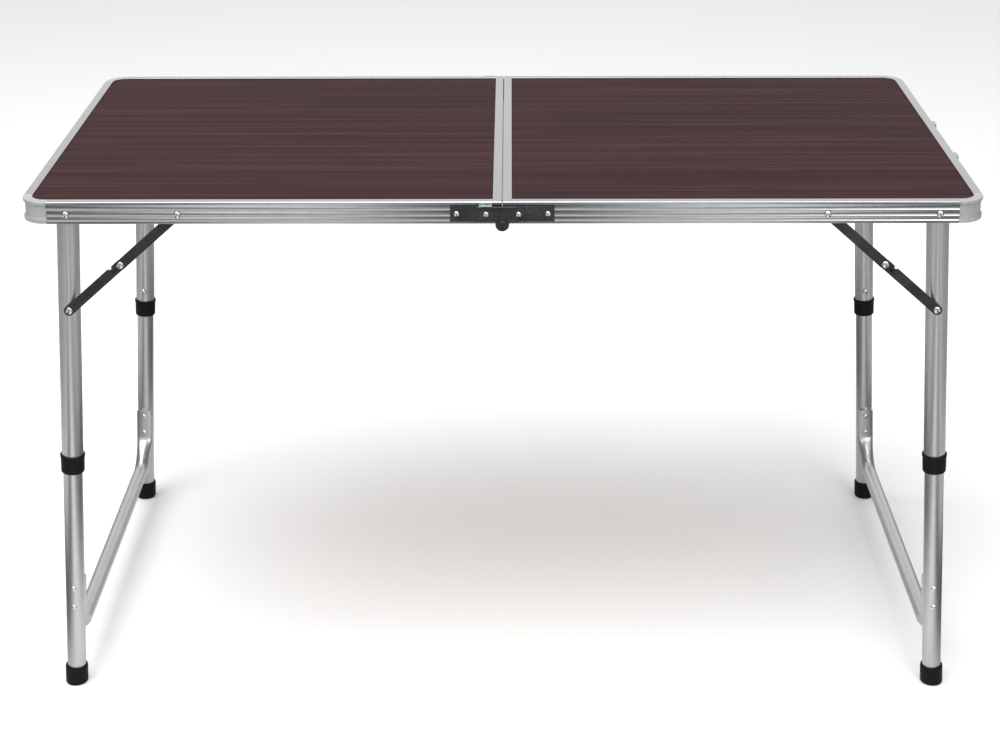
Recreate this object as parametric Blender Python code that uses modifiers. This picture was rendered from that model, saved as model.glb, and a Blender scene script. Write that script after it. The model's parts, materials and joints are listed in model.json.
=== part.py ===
"""Folding camping table: two framed panels joined by a centre hinge, with telescopic folding legs.

Units are metres and +Z is up. The origin is on the floor, below the middle of the fold line.
Every piece is drawn once for the rear right quarter of the table, where X runs from the fold line
to the right end and Y from the middle to the rear edge, and is then mirrored to the other quarters.
"""

from math import atan2, cos, hypot, pi, radians, sin, tan

import bmesh
import bpy
from mathutils import Matrix, Vector

# Overall sizes
TABLE_LENGTH = 1.200
TABLE_DEPTH = 0.600
TABLE_HEIGHT = 0.700

# Clearances
GAP = 0.0003              # between pieces that touch
PIN_CLEARANCE = 0.0003    # round a pin in its hole
PANEL_CLEARANCE = 0.0004  # between the board's edge and the corner caps
MERGE_DISTANCE = 0.00001
FLAT_ANGLE = 0.001        # faces this close to level with each other become one

# Edge rails: u runs inwards from the rail's outer face, drops run down from the table's top
FRAME_HEIGHT = 0.0285
RAIL_WALL = 0.0020
RAIL_GROOVE = 0.0006
RAIL_EDGE_RADIUS = 0.0014
RAIL_TOP_BAND = 0.0042
RAIL_BOTTOM_BAND = 0.0030
RIDGE_DROPS = (0.0114, 0.0193)
RIDGE_HALF_WIDTH = 0.0006
RIDGE_SLOPE = 0.0004
LIP_WIDTH = 0.0115
LIP_THICKNESS = 0.0008
LEDGE_WIDTH = 0.0080
LEDGE_THICKNESS = 0.0010
PANEL_THICKNESS = 0.0025

# Corner caps
CORNER_RADIUS = 0.030
CAP_REACH = 0.034         # from the table's edge to the cap's end
CAP_RECESS = 0.0022
CAP_WALL = 0.0014
CAP_TOP_BAND = 0.0045
CAP_BOTTOM_BAND = 0.0060
CORNER_STEPS = 6

# Leg tubes; along the leg, distances run down from its pivot
LEG_PIVOT_INSET = 0.0574  # from the table's end
PIVOT_DROP = 0.0168
LEG_OFFSET = 0.0011       # tube axis, outboard of the pivot
LEG_SPLAY = radians(3.6)
FOLD_DROOP = radians(0.45)
UPPER_RADIUS = 0.0140
UPPER_WALL = 0.0012
LOWER_RADIUS = UPPER_RADIUS - UPPER_WALL - GAP
LOWER_WALL = 0.0010
TUBE_TOP = 0.0105         # above the pivot
UPPER_LENGTH = 0.3600     # pivot to lower end
TUBE_OVERLAP = 0.1800     # lower tube inside the upper one
TUBE_SIDES = 20

# Collars, feet and snap buttons
COLLAR_HEIGHT = 0.0255
COLLAR_WALL = 0.0012
COLLAR_FLARE = 0.0007
COLLAR_LIP = 0.0030
FOOT_HEIGHT = 0.0275
FOOT_WALL = 0.0024
FOOT_SOLE = 0.0085
FOOT_CHAMFER = 0.0020
BUTTON_RISE = 0.0390      # above the upper tube's lower end
BUTTON_RADIUS = 0.0042
BUTTON_PROUD = 0.0025
BUTTON_FLANGE = 0.0013
BUTTON_FLANGE_THICKNESS = 0.0010

# Crossbars
BAR_RADIUS = 0.0105
BAR_HEIGHT = 0.0680       # bar axis above the floor
BAR_END_HEIGHT = 0.1600
BAR_BEND = 0.0350
BAR_FLAT = 0.34           # share of the bar's width left where its end is pressed flat
BAR_SPREAD = 1.15         # share of the bar's width there, across the leg
BAR_FLAT_LENGTH = 0.0720
BAR_BLEND_LENGTH = 0.0260
BAR_BITE = 0.0030         # how far the pressed end reaches round the leg
BAR_RIVETS = (0.0105, 0.0385)

# Stays
STAY_SPAN = 0.1390        # leg pivot to stay pivot, along the rail
STAY_DROP = 0.1305        # leg pivot to stay pivot, down the leg
STAY_WIDTH = 0.0130
STAY_THICKNESS = 0.0012
STAY_NOTCH_RADIUS = 0.0026
STAY_NOTCH_OFFSET = 0.0135

# Rivets and pins
RIVET_RADIUS = 0.0024
RIVET_HEAD = 0.0045
HEAD_HEIGHT = 0.0016
THIN_HEAD = 0.0008
SPACER_RADIUS = 0.0055
ROUND_STEPS = 12

# Centre hinge
FOLD_GAP = 0.0006         # between the two centre rails
HINGE_DROP = 0.0288
LEAF_THICKNESS = 0.0015
LEAF_END = 0.0648
LEAF_TOP = 0.0052
LEAF_BOTTOM = 0.0252
EAR_RADIUS = 0.0088
EAR_RELIEF = 0.0004       # how far the edge beside the ear rises towards it
RAISED_START = 0.0305
RAISED_END = 0.0285
RIM_DEPTH = 0.0020
RIM_THICKNESS = 0.0012
LEAF_RIVETS = (0.0567, 0.0202)
LEAF_RIVET_DROP = 0.0152
LEAF_RIVET_HEAD = 0.0035
SCREW_HEAD = 0.0050
TAB_LENGTH = 0.0160
TAB_HEIGHT = 0.0046
TAB_THICKNESS = 0.0008
TAB_START = 0.0130
SLOT_OPEN_ANGLE = radians(-17)   # where the stud's slot leaves the leaf, seen from the hinge pin

# Carry handle on the right end
HANDLE_SPACING = 0.150
HANDLE_RADIUS = 0.0035
HANDLE_DROP = 0.0320
HANDLE_BEND = 0.0080
HANDLE_STANDOFF = 0.0050  # from the rail's face to the handle's axis
BRACKET_WIDTH = 0.0160
BRACKET_HEIGHT = 0.0130
BRACKET_DEPTH = 0.0100
HANDLE_PIVOT_DROP = 0.0150

# Places that follow from the sizes above
HALF_LENGTH = TABLE_LENGTH / 2
HALF_DEPTH = TABLE_DEPTH / 2
PANEL_TOP = LIP_THICKNESS + GAP
LEDGE_TOP = PANEL_TOP + PANEL_THICKNESS + GAP
PANEL_INSET = CAP_RECESS + CAP_WALL + PANEL_CLEARANCE
LEG_PIVOT_X = HALF_LENGTH - LEG_PIVOT_INSET
PIVOT_Z = TABLE_HEIGHT - PIVOT_DROP
UPPER_STAY_Y = HALF_DEPTH - RAIL_WALL - GAP - THIN_HEAD - STAY_THICKNESS / 2
LOWER_STAY_Y = UPPER_STAY_Y - STAY_THICKNESS - THIN_HEAD - GAP
TUBE_FACE_Y = LOWER_STAY_Y - STAY_THICKNESS / 2 - GAP
LEG_Y = TUBE_FACE_Y - UPPER_RADIUS
FLOOR_REACH = (PIVOT_Z + LEG_OFFSET * sin(LEG_SPLAY)) / cos(LEG_SPLAY)
BUTTON_REACH = UPPER_LENGTH - BUTTON_RISE
STAY_PIVOT_X = LEG_PIVOT_X - STAY_SPAN
LEAF_Y = HALF_DEPTH + GAP
RAISED_Y = LEAF_Y + LEAF_THICKNESS + GAP

ALUMINIUM = ("satin_aluminium", (0.62, 0.63, 0.64), 0.32, 1.0)
GREY_PLASTIC = ("grey_plastic", (0.42, 0.43, 0.43), 0.45, 0.0)
BLACK_PLASTIC = ("black_plastic", (0.012, 0.012, 0.013), 0.55, 0.0)
BLACK_STEEL = ("black_steel", (0.03, 0.03, 0.032), 0.40, 0.6)
BRIGHT_STEEL = ("bright_steel", (0.65, 0.65, 0.66), 0.18, 1.0)
ZINC_STEEL = ("zinc_steel", (0.55, 0.62, 0.60), 0.30, 1.0)
WOOD_BOARD = ("wood_board", (0.075, 0.04, 0.042), 0.45, 0.0)


def clear_scene():
    """Remove every object of the scene."""
    for thing in list(bpy.data.objects):
        bpy.data.objects.remove(thing, do_unlink=True)


def new_collection(name):
    collection = bpy.data.collections.new(name)
    bpy.context.scene.collection.children.link(collection)
    return collection


def material(spec):
    """Principled material from a (name, colour, roughness, metallic) tuple, made once."""
    name, colour, roughness, metallic = spec
    found = bpy.data.materials.get(name)
    if found:
        return found
    made = bpy.data.materials.new(name)
    made.use_nodes = True
    shader = made.node_tree.nodes["Principled BSDF"]
    shader.inputs["Base Color"].default_value = (*colour, 1.0)
    shader.inputs["Roughness"].default_value = roughness
    shader.inputs["Metallic"].default_value = metallic
    return made


# ---------------------------------------------------------------- shape tools


def evaluated_mesh(thing):
    """Welded mesh of an object with its modifiers applied; the object is removed."""
    depsgraph = bpy.context.evaluated_depsgraph_get()
    mesh = bpy.data.meshes.new_from_object(thing.evaluated_get(depsgraph))
    bpy.data.objects.remove(thing, do_unlink=True)
    shape = bmesh.new()
    shape.from_mesh(mesh)
    bmesh.ops.remove_doubles(shape, verts=shape.verts, dist=MERGE_DISTANCE)
    bmesh.ops.recalc_face_normals(shape, faces=shape.faces)
    shape.to_mesh(mesh)
    shape.free()
    return mesh


def temporary(data):
    """Object that carries data while modifiers act on it."""
    thing = bpy.data.objects.new("temporary", data)
    bpy.context.scene.collection.objects.link(thing)
    return thing


def moved(mesh, matrix):
    mesh.transform(matrix)
    return mesh


def combine(base, others, operation):
    """Boolean of one mesh with several others."""
    thing = temporary(base)
    tools = [temporary(other) for other in others]
    for tool in tools:
        step = thing.modifiers.new("combine", "BOOLEAN")
        step.operation = operation
        step.solver = "EXACT"
        step.object = tool
    result = evaluated_mesh(thing)
    for tool in tools:
        bpy.data.objects.remove(tool, do_unlink=True)
    return result


def flat_curve(outline, thickness):
    """2D curve filled on both sides, extruded by half the thickness each way."""
    curve = bpy.data.curves.new("outline", "CURVE")
    curve.dimensions = "2D"
    curve.fill_mode = "BOTH"
    curve.extrude = thickness / 2
    spline = curve.splines.new("POLY")
    spline.points.add(len(outline) - 1)
    for point, place in zip(spline.points, outline):
        point.co = (place[0], place[1], 0.0, 1.0)
    spline.use_cyclic_u = True
    return curve


def slab(outline, thickness):
    """Flat plate in XY, centred on Z = 0, with each flat side as one face."""
    mesh = evaluated_mesh(temporary(flat_curve(outline, thickness)))
    shape = bmesh.new()
    shape.from_mesh(mesh)
    bmesh.ops.dissolve_limit(shape, angle_limit=FLAT_ANGLE, verts=shape.verts, edges=shape.edges)
    shape.to_mesh(mesh)
    shape.free()
    return mesh


def upright_slab(outline, thickness, middle):
    """Flat plate whose outline lies in XZ, centred on Y = middle."""
    turn = Matrix.Rotation(pi / 2, 4, "X")
    return moved(slab(outline, thickness), Matrix.Translation((0, middle, 0)) @ turn)


def turned(profile, steps):
    """Solid turned about Z from (radius, height) points that run down its outer side."""
    mesh = bpy.data.meshes.new("profile")
    points = [(radius, 0.0, height) for radius, height in profile]
    edges = [(i, i + 1) for i in range(len(points) - 1)]
    if profile[0][0] > 0:
        edges.append((len(points) - 1, 0))
    mesh.from_pydata(points, edges, [])
    thing = temporary(mesh)
    screw = thing.modifiers.new("turn", "SCREW")
    screw.steps = steps
    screw.render_steps = steps
    screw.use_merge_vertices = True
    screw.merge_threshold = MERGE_DISTANCE
    return evaluated_mesh(thing)


def box(low, high):
    """Block between two corners, from a cube primitive."""
    shape = bmesh.new()
    bmesh.ops.create_cube(shape, size=1.0)
    size = Vector(high) - Vector(low)
    middle = (Vector(high) + Vector(low)) / 2
    place = Matrix.Translation(middle) @ Matrix.Diagonal((*size, 1))
    bmesh.ops.transform(shape, verts=shape.verts, matrix=place)
    mesh = bpy.data.meshes.new("box")
    shape.to_mesh(mesh)
    shape.free()
    return mesh


def along_y(mesh, place):
    """Turn a piece made about Z so that its axis is Y, with its top towards +Y."""
    return moved(mesh, Matrix.Translation(place) @ Matrix.Rotation(-pi / 2, 4, "X"))


def peg(radius, low, high, place, steps=ROUND_STEPS):
    """Plain round peg along Y, from low to high."""
    profile = [(0.0, high), (radius, high), (radius, low), (0.0, low)]
    return along_y(turned(profile, steps), place)


def arc(centre, radius, start, stop, steps):
    """Points of an arc, angles in radians."""
    turn = (stop - start) / steps
    return [(centre[0] + radius * cos(start + turn * i), centre[1] + radius * sin(start + turn * i))
            for i in range(steps + 1)]


def swept_tube(path, radius, resolution):
    """Round bar along a polyline."""
    curve = bpy.data.curves.new("path", "CURVE")
    curve.dimensions = "3D"
    curve.bevel_depth = radius
    curve.bevel_resolution = resolution
    curve.use_fill_caps = True
    spline = curve.splines.new("POLY")
    spline.points.add(len(path) - 1)
    for point, place in zip(spline.points, path):
        point.co = (*place, 1.0)
    return evaluated_mesh(temporary(curve))


class Builder:
    """Places finished shapes in the table's quarters, as one object for each piece."""

    def __init__(self, collection):
        self.collection = collection

    def place(self, name, mesh, spec, origin=(0, 0, 0), side=1, end=1, tilt=0.0):
        """Mirror a quarter's shape to its side and end, and put its origin on the given point."""
        mesh.name = name
        mesh.transform(Matrix.Diagonal((side, end, 1, 1)))
        if side * end < 0:
            mesh.flip_normals()
        mesh.materials.clear()
        mesh.materials.append(material(spec))
        mesh.shade_smooth()
        mesh.set_sharp_from_angle(angle=radians(30))
        thing = bpy.data.objects.new(name, mesh)
        thing.location = (side * origin[0], end * origin[1], origin[2])
        thing.rotation_euler = (0.0, -side * tilt, 0.0)
        self.collection.objects.link(thing)
        return thing


# ---------------------------------------------------------------- table top


def rail_section():
    """Section of the edge rail in (u, -drop): grooved outer face, lip over the panel, ledge under it."""
    points = [(RAIL_EDGE_RADIUS, 0.0), (0.0, -RAIL_EDGE_RADIUS), (0.0, -RAIL_TOP_BAND)]
    points.append((RAIL_GROOVE, -RAIL_TOP_BAND - RIDGE_SLOPE))
    for drop in RIDGE_DROPS:
        for reach, rise in ((RAIL_GROOVE, RIDGE_HALF_WIDTH + RIDGE_SLOPE), (0.0, RIDGE_HALF_WIDTH)):
            points.append((reach, rise - drop))
        for reach, rise in ((0.0, RIDGE_HALF_WIDTH), (RAIL_GROOVE, RIDGE_HALF_WIDTH + RIDGE_SLOPE)):
            points.append((reach, -rise - drop))
    band = -FRAME_HEIGHT + RAIL_BOTTOM_BAND
    points += [(RAIL_GROOVE, band + RIDGE_SLOPE), (0.0, band), (0.0, -FRAME_HEIGHT + RAIL_GROOVE)]
    points += [(RAIL_GROOVE, -FRAME_HEIGHT), (RAIL_WALL, -FRAME_HEIGHT)]
    points += channel_points(RAIL_WALL)
    return points


def channel_points(wall):
    """Inner side of a rail or cap from under the ledge up to the lip's edge."""
    return [
        (wall, -LEDGE_TOP - LEDGE_THICKNESS),
        (LEDGE_WIDTH, -LEDGE_TOP - LEDGE_THICKNESS),
        (LEDGE_WIDTH, -LEDGE_TOP),
        (wall, -LEDGE_TOP),
        (wall, -LIP_THICKNESS),
        (LIP_WIDTH, -LIP_THICKNESS),
        (LIP_WIDTH, 0.0),
    ]


def cap_section():
    """Section of a corner cap: proud bands at the top and bottom, recessed between them."""
    low_band = -FRAME_HEIGHT + CAP_BOTTOM_BAND
    return [
        (RAIL_EDGE_RADIUS, 0.0),
        (0.0, -RAIL_EDGE_RADIUS),
        (0.0, -CAP_TOP_BAND + RAIL_EDGE_RADIUS),
        (CAP_RECESS, -CAP_TOP_BAND - RAIL_EDGE_RADIUS),
        (CAP_RECESS, low_band + RAIL_EDGE_RADIUS),
        (0.0, low_band - RAIL_EDGE_RADIUS),
        (0.0, -FRAME_HEIGHT + RAIL_EDGE_RADIUS),
        (RAIL_EDGE_RADIUS, -FRAME_HEIGHT),
        (CAP_RECESS + CAP_WALL, -FRAME_HEIGHT),
    ] + channel_points(CAP_RECESS + CAP_WALL)


def rail(start, stop, start_mitre=0, stop_mitre=0):
    """Rail along Y with u along X; a mitre of 1 cuts that end at 45 degrees."""
    mesh = slab(rail_section(), 1.0)
    for vertex in mesh.vertices:
        u, drop, station = vertex.co
        place = stop - stop_mitre * u if station > 0 else start + start_mitre * u
        vertex.co = (u, place, drop)
    return mesh


def faced_outwards(mesh):
    """Point every face outwards after a reflection."""
    shape = bmesh.new()
    shape.from_mesh(mesh)
    bmesh.ops.recalc_face_normals(shape, faces=shape.faces)
    shape.to_mesh(mesh)
    shape.free()
    return mesh


def side_rail():
    """Rear rail of one half, mitred at the fold, with holes for the leg pin and the stay rivet."""
    mesh = rail(FOLD_GAP / 2, HALF_LENGTH - CAP_REACH, start_mitre=1)
    lie = Matrix(((0, 1, 0, 0), (-1, 0, 0, HALF_DEPTH), (0, 0, 1, TABLE_HEIGHT), (0, 0, 0, 1)))
    hole = RIVET_RADIUS + PIN_CLEARANCE
    cutters = [peg(hole, -2 * RAIL_WALL, RAIL_WALL, (x, HALF_DEPTH, PIVOT_Z))
               for x in (LEG_PIVOT_X, STAY_PIVOT_X)]
    return combine(faced_outwards(moved(mesh, lie)), cutters, "DIFFERENCE")


def end_rail():
    reach = HALF_DEPTH - CAP_REACH
    face = Matrix(((-1, 0, 0, HALF_LENGTH), (0, 1, 0, 0), (0, 0, 1, TABLE_HEIGHT), (0, 0, 0, 1)))
    return faced_outwards(moved(rail(-reach, reach), face))


def centre_rail():
    """Rail beside the fold, mitred into the front and rear rails."""
    reach = HALF_DEPTH - FOLD_GAP / 2
    mesh = rail(-reach, reach, start_mitre=1, stop_mitre=1)
    return faced_outwards(moved(mesh, Matrix.Translation((FOLD_GAP / 2, 0, TABLE_HEIGHT))))


def corner_cap():
    """Channel swept round the corner, with a short straight run at each end."""
    start = HALF_LENGTH - CAP_REACH + GAP
    run = CAP_REACH - GAP - CORNER_RADIUS
    mesh = slab(cap_section(), 1.0)
    for vertex in mesh.vertices:
        u, drop, station = vertex.co
        vertex.co = (start + run if station > 0 else start, HALF_DEPTH - u, TABLE_HEIGHT + drop)
    shape = bmesh.new()
    shape.from_mesh(mesh)
    pivot = Matrix.Translation((HALF_LENGTH - CORNER_RADIUS, HALF_DEPTH - CORNER_RADIUS, 0))
    turn = pivot @ Matrix.Rotation(-pi / 2 / CORNER_STEPS, 4, "Z") @ pivot.inverted()
    tip = [face for face in shape.faces if min(vertex.co.x for vertex in face.verts) > start]
    for move in [turn] * CORNER_STEPS + [Matrix.Translation((0, -run, 0))]:
        grown = bmesh.ops.extrude_face_region(shape, geom=tip)["geom"]
        bmesh.ops.delete(shape, geom=tip, context="FACES_ONLY")
        tip = [item for item in grown if isinstance(item, bmesh.types.BMFace)]
        rim = [item for item in grown if isinstance(item, bmesh.types.BMVert)]
        bmesh.ops.transform(shape, verts=rim, matrix=move)
    bmesh.ops.recalc_face_normals(shape, faces=shape.faces)
    shape.to_mesh(mesh)
    shape.free()
    return mesh


def panel():
    """Wooden board held between the rails' lips and ledges, round at its outer corners."""
    near = FOLD_GAP / 2 + PANEL_INSET
    side = HALF_DEPTH - PANEL_INSET
    middle_x = HALF_LENGTH - CORNER_RADIUS
    middle_y = HALF_DEPTH - CORNER_RADIUS
    radius = CORNER_RADIUS - PANEL_INSET
    outline = [(near, -side)] + arc((middle_x, -middle_y), radius, -pi / 2, 0, CORNER_STEPS)
    outline += arc((middle_x, middle_y), radius, 0, pi / 2, CORNER_STEPS) + [(near, side)]
    height = TABLE_HEIGHT - PANEL_TOP - PANEL_THICKNESS / 2
    return moved(slab(outline, PANEL_THICKNESS), Matrix.Translation((0, 0, height)))


# ---------------------------------------------------------------- rivets


def dome(radius, base, height):
    """Profile points of a domed head that stands on base."""
    crown = [(radius * sin(a), base + height * cos(a)) for a in (0.0, pi / 4)]
    return crown + [(radius, base)]


def rivet(stages, place):
    """Stepped rivet along Y from (radius, low, high) stages, outermost first."""
    profile = []
    for radius, low, high, domed in stages:
        profile += dome(radius, low, high - low) if domed else [(radius, high), (radius, low)]
    if profile[0][0] > 0:
        profile.insert(0, (0.0, profile[0][1]))
    profile.append((0.0, profile[-1][1]))
    return along_y(turned(profile, ROUND_STEPS), place)


def leg_pin():
    """Leg pivot: domed head outside the rail, spacer behind it, and a tail inside the leg's tube."""
    wall = UPPER_RADIUS - UPPER_WALL
    tail = LEG_Y + (wall ** 2 - (RIVET_HEAD + LEG_OFFSET) ** 2) ** 0.5 - GAP
    head = HALF_DEPTH + GAP
    back = HALF_DEPTH - RAIL_WALL - GAP
    stages = [
        (RIVET_HEAD, head, head + HEAD_HEIGHT, True),
        (RIVET_RADIUS, back, head, False),
        (SPACER_RADIUS, TUBE_FACE_Y + GAP, back, False),
        (RIVET_RADIUS, tail, TUBE_FACE_Y + GAP, False),
        (RIVET_HEAD, tail - THIN_HEAD, tail, False),
    ]
    return moved(rivet(stages, (0, 0, 0)), Matrix.Translation((0, -LEG_Y, 0)))


# ---------------------------------------------------------------- legs


def tube(radius, wall, top, bottom):
    """Open tube about the leg's axis, between two distances below the pivot."""
    profile = [(radius, -top), (radius, -bottom), (radius - wall, -bottom), (radius - wall, -top)]
    return moved(turned(profile, TUBE_SIDES), Matrix.Translation((LEG_OFFSET, 0, 0)))


def stay_anchor():
    """Stay pivot on the leg, (x, reach): level with the rail's stay pivot once the leg is folded."""
    return -STAY_DROP * tan(FOLD_DROOP), STAY_DROP


def board_clearance_cutter():
    """Wedge off the tube's inner top edge, so that it passes under the board as the leg folds."""
    clear = PIVOT_DROP - PANEL_TOP - PANEL_THICKNESS - GAP
    top = Vector((-(clear ** 2 - TUBE_TOP ** 2) ** 0.5, TUBE_TOP))
    run = Vector((-clear, 0.0)) - top
    high = top - run / 2
    low = top + 2 * run
    far = -2 * UPPER_RADIUS
    return upright_slab([(far, low.y), tuple(low), tuple(high), (far, high.y)], 4 * UPPER_RADIUS, 0)


def upper_tube():
    """Upper leg tube with holes for the leg pin, the stay's rivet and the snap button."""
    hole = RIVET_RADIUS + PIN_CLEARANCE
    anchor_x, anchor_reach = stay_anchor()
    deep = 2 * UPPER_RADIUS
    cutters = [
        peg(hole, 0, deep, (0, 0, 0)),
        peg(hole, 0, deep, (anchor_x, 0, -anchor_reach)),
        peg(BUTTON_RADIUS + PIN_CLEARANCE, -deep, 0, (LEG_OFFSET, 0, -BUTTON_REACH)),
        board_clearance_cutter(),
    ]
    return combine(tube(UPPER_RADIUS, UPPER_WALL, -TUBE_TOP, UPPER_LENGTH), cutters, "DIFFERENCE")


def lower_tube_end():
    return FLOOR_REACH - FOOT_SOLE - GAP


def crossbar_reach(height):
    """Distance down the leg of a height above the floor."""
    return FLOOR_REACH - height / cos(LEG_SPLAY)


def lower_tube():
    """Lower leg tube with its snap button hole and the crossbar's two rivet heads."""
    base = tube(LOWER_RADIUS, LOWER_WALL, UPPER_LENGTH - TUBE_OVERLAP, lower_tube_end())
    cutter = peg(BUTTON_RADIUS + PIN_CLEARANCE, -2 * LOWER_RADIUS, 0, (LEG_OFFSET, 0, -BUTTON_REACH))
    base = combine(base, [cutter], "DIFFERENCE")
    face = LOWER_RADIUS - LOWER_WALL / 2
    top = crossbar_reach(BAR_END_HEIGHT)
    stage = (RIVET_HEAD - GAP, face, LOWER_RADIUS + HEAD_HEIGHT, True)
    heads = [rivet([stage], (LEG_OFFSET, 0, -top - drop)) for drop in BAR_RIVETS]
    return combine(base, heads, "UNION")


def collar():
    """Plastic collar round the upper tube's end, with a flared rim and a lip under the tube."""
    inner = UPPER_RADIUS + GAP
    outer = inner + COLLAR_WALL
    lip = LOWER_RADIUS + GAP
    bottom = UPPER_LENGTH + COLLAR_LIP + GAP
    top = bottom - COLLAR_HEIGHT
    profile = [
        (outer + COLLAR_FLARE, -top),
        (outer + COLLAR_FLARE, -top - COLLAR_LIP),
        (outer, -top - 2 * COLLAR_LIP),
        (outer - COLLAR_WALL / 4, -bottom + COLLAR_WALL),
        (outer - COLLAR_WALL, -bottom),
        (lip, -bottom),
        (lip, -UPPER_LENGTH - GAP),
        (inner, -UPPER_LENGTH - GAP),
        (inner, -top),
    ]
    return moved(turned(profile, TUBE_SIDES), Matrix.Translation((LEG_OFFSET, 0, 0)))


def foot():
    """Plastic foot: a cup round the lower tube, cut level with the floor."""
    inner = LOWER_RADIUS + GAP
    outer = inner + FOOT_WALL
    seat = FLOOR_REACH - FOOT_SOLE
    top = FLOOR_REACH - FOOT_HEIGHT
    slack = outer * tan(LEG_SPLAY)
    profile = [
        (0.0, -seat),
        (inner, -seat),
        (inner, -top),
        (outer - FOOT_WALL / 3, -top),
        (outer, -top - FOOT_CHAMFER),
        (outer, -FLOOR_REACH + FOOT_CHAMFER + slack),
        (outer - FOOT_CHAMFER, -FLOOR_REACH - 2 * slack),
        (0.0, -FLOOR_REACH - 2 * slack),
    ]
    mesh = moved(turned(profile, TUBE_SIDES), Matrix.Translation((LEG_OFFSET, 0, 0)))
    shape = bmesh.new()
    shape.from_mesh(mesh)
    down = Matrix.Rotation(LEG_SPLAY, 3, "Y") @ Vector((0, 0, -1))
    cut = bmesh.ops.bisect_plane(
        shape, geom=shape.verts[:] + shape.edges[:] + shape.faces[:],
        plane_co=down * PIVOT_Z, plane_no=down, clear_outer=True)
    rim = [item for item in cut["geom_cut"] if isinstance(item, bmesh.types.BMEdge)]
    bmesh.ops.edgeloop_fill(shape, edges=rim)
    bmesh.ops.recalc_face_normals(shape, faces=shape.faces)
    shape.to_mesh(mesh)
    shape.free()
    return mesh


def snap_button():
    """Round button that stands out of the leg's inner face, with a flange inside the lower tube."""
    tip = UPPER_RADIUS + BUTTON_PROUD
    flange = BUTTON_RADIUS + BUTTON_FLANGE
    seat = ((LOWER_RADIUS - LOWER_WALL) ** 2 - flange ** 2) ** 0.5 - GAP
    stages = [
        (BUTTON_RADIUS, UPPER_RADIUS, tip, True),
        (BUTTON_RADIUS, seat, UPPER_RADIUS, False),
        (flange, seat - BUTTON_FLANGE_THICKNESS, seat, False),
    ]
    return moved(rivet(stages, (0, 0, 0)), Matrix.Rotation(pi, 4, "Z"))


def crossbar_path():
    """U shape in the leg's plane: down beside one leg, across, and up beside the other."""
    arm = LEG_Y - LOWER_RADIUS - GAP - BAR_RADIUS
    low = -crossbar_reach(BAR_HEIGHT)
    high = -crossbar_reach(BAR_END_HEIGHT)
    rise = high - low - BAR_BEND
    side = [(arm, high - rise * i / 6) for i in range(6)]
    side += arc((arm - BAR_BEND, low + BAR_BEND), BAR_BEND, 0, -pi / 2, 7)
    other = [(-y, z) for y, z in reversed(side)]
    return [(0.0, y, z) for y, z in side + other]


def crossbar():
    """Bent bar with its ends pressed flat and hollowed to fit round the legs, with two rivets each."""
    mesh = swept_tube(crossbar_path(), BAR_RADIUS, 2)
    face = LEG_Y - LOWER_RADIUS - GAP
    high = -crossbar_reach(BAR_END_HEIGHT)
    for vertex in mesh.vertices:
        depth = high - vertex.co.z
        blend = min(1.0, max(0.0, (BAR_FLAT_LENGTH - depth) / BAR_BLEND_LENGTH))
        blend = blend * blend * (3 - 2 * blend)
        end = 1 if vertex.co.y > 0 else -1
        inset = face - end * vertex.co.y
        pressed = inset * BAR_FLAT - BAR_BITE
        vertex.co.y = end * (face - inset - blend * (pressed - inset))
        vertex.co.x *= 1 + blend * (BAR_SPREAD - 1)
    cutters = [leg_cutter(end, high) for end in (1, -1)]
    heads = [crossbar_rivet(end, high - drop) for end in (1, -1) for drop in BAR_RIVETS]
    mesh = combine(mesh, cutters, "DIFFERENCE")
    mesh = combine(mesh, heads, "UNION")
    return moved(mesh, Matrix.Translation((LEG_OFFSET, 0, 0)))


def leg_cutter(end, high):
    """Round clearance for one lower tube, past the crossbar's end and bend."""
    radius = (LOWER_RADIUS + GAP) / cos(pi / TUBE_SIDES)
    profile = [(0.0, BAR_BEND), (radius, BAR_BEND), (radius, -4 * BAR_BEND), (0.0, -4 * BAR_BEND)]
    return moved(turned(profile, TUBE_SIDES), Matrix.Translation((0, end * LEG_Y, high)))


def crossbar_rivet(end, height):
    """Domed head on the pressed end's inner face."""
    face = LEG_Y - LOWER_RADIUS - GAP + BAR_BITE - 2 * BAR_RADIUS * BAR_FLAT
    mesh = rivet([(RIVET_HEAD - GAP, -HEAD_HEIGHT / 2, HEAD_HEIGHT, True)], (0, 0, 0))
    turn = Matrix.Rotation(pi if end > 0 else 0.0, 4, "Z")
    return moved(mesh, Matrix.Translation((0, end * face, height)) @ turn)


# ---------------------------------------------------------------- stays


def stay_geometry():
    """Lengths of the two stay links and their slope, from the open and the folded leg.

    Open, the links lie in one line from the rail pivot to the leg pivot. Folded, the leg's
    pivot lies beside the rail's, and both links point to the table's end.
    """
    anchor_x, anchor_reach = stay_anchor()
    x = anchor_x * cos(LEG_SPLAY) + anchor_reach * sin(LEG_SPLAY)
    z = anchor_x * sin(LEG_SPLAY) - anchor_reach * cos(LEG_SPLAY)
    span = hypot(x + STAY_SPAN, z)
    folded = STAY_SPAN - anchor_reach / cos(FOLD_DROOP)
    slope = atan2(-z, x + STAY_SPAN)
    return (span + folded) / 2, (span - folded) / 2, slope, (x, z)


def link_outline(start, stop):
    """Strip with round ends about (start, 0) and (stop, 0)."""
    half = STAY_WIDTH / 2
    return arc((stop, 0), half, -pi / 2, pi / 2, 6) + arc((start, 0), half, pi / 2, 3 * pi / 2, 6)


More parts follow.
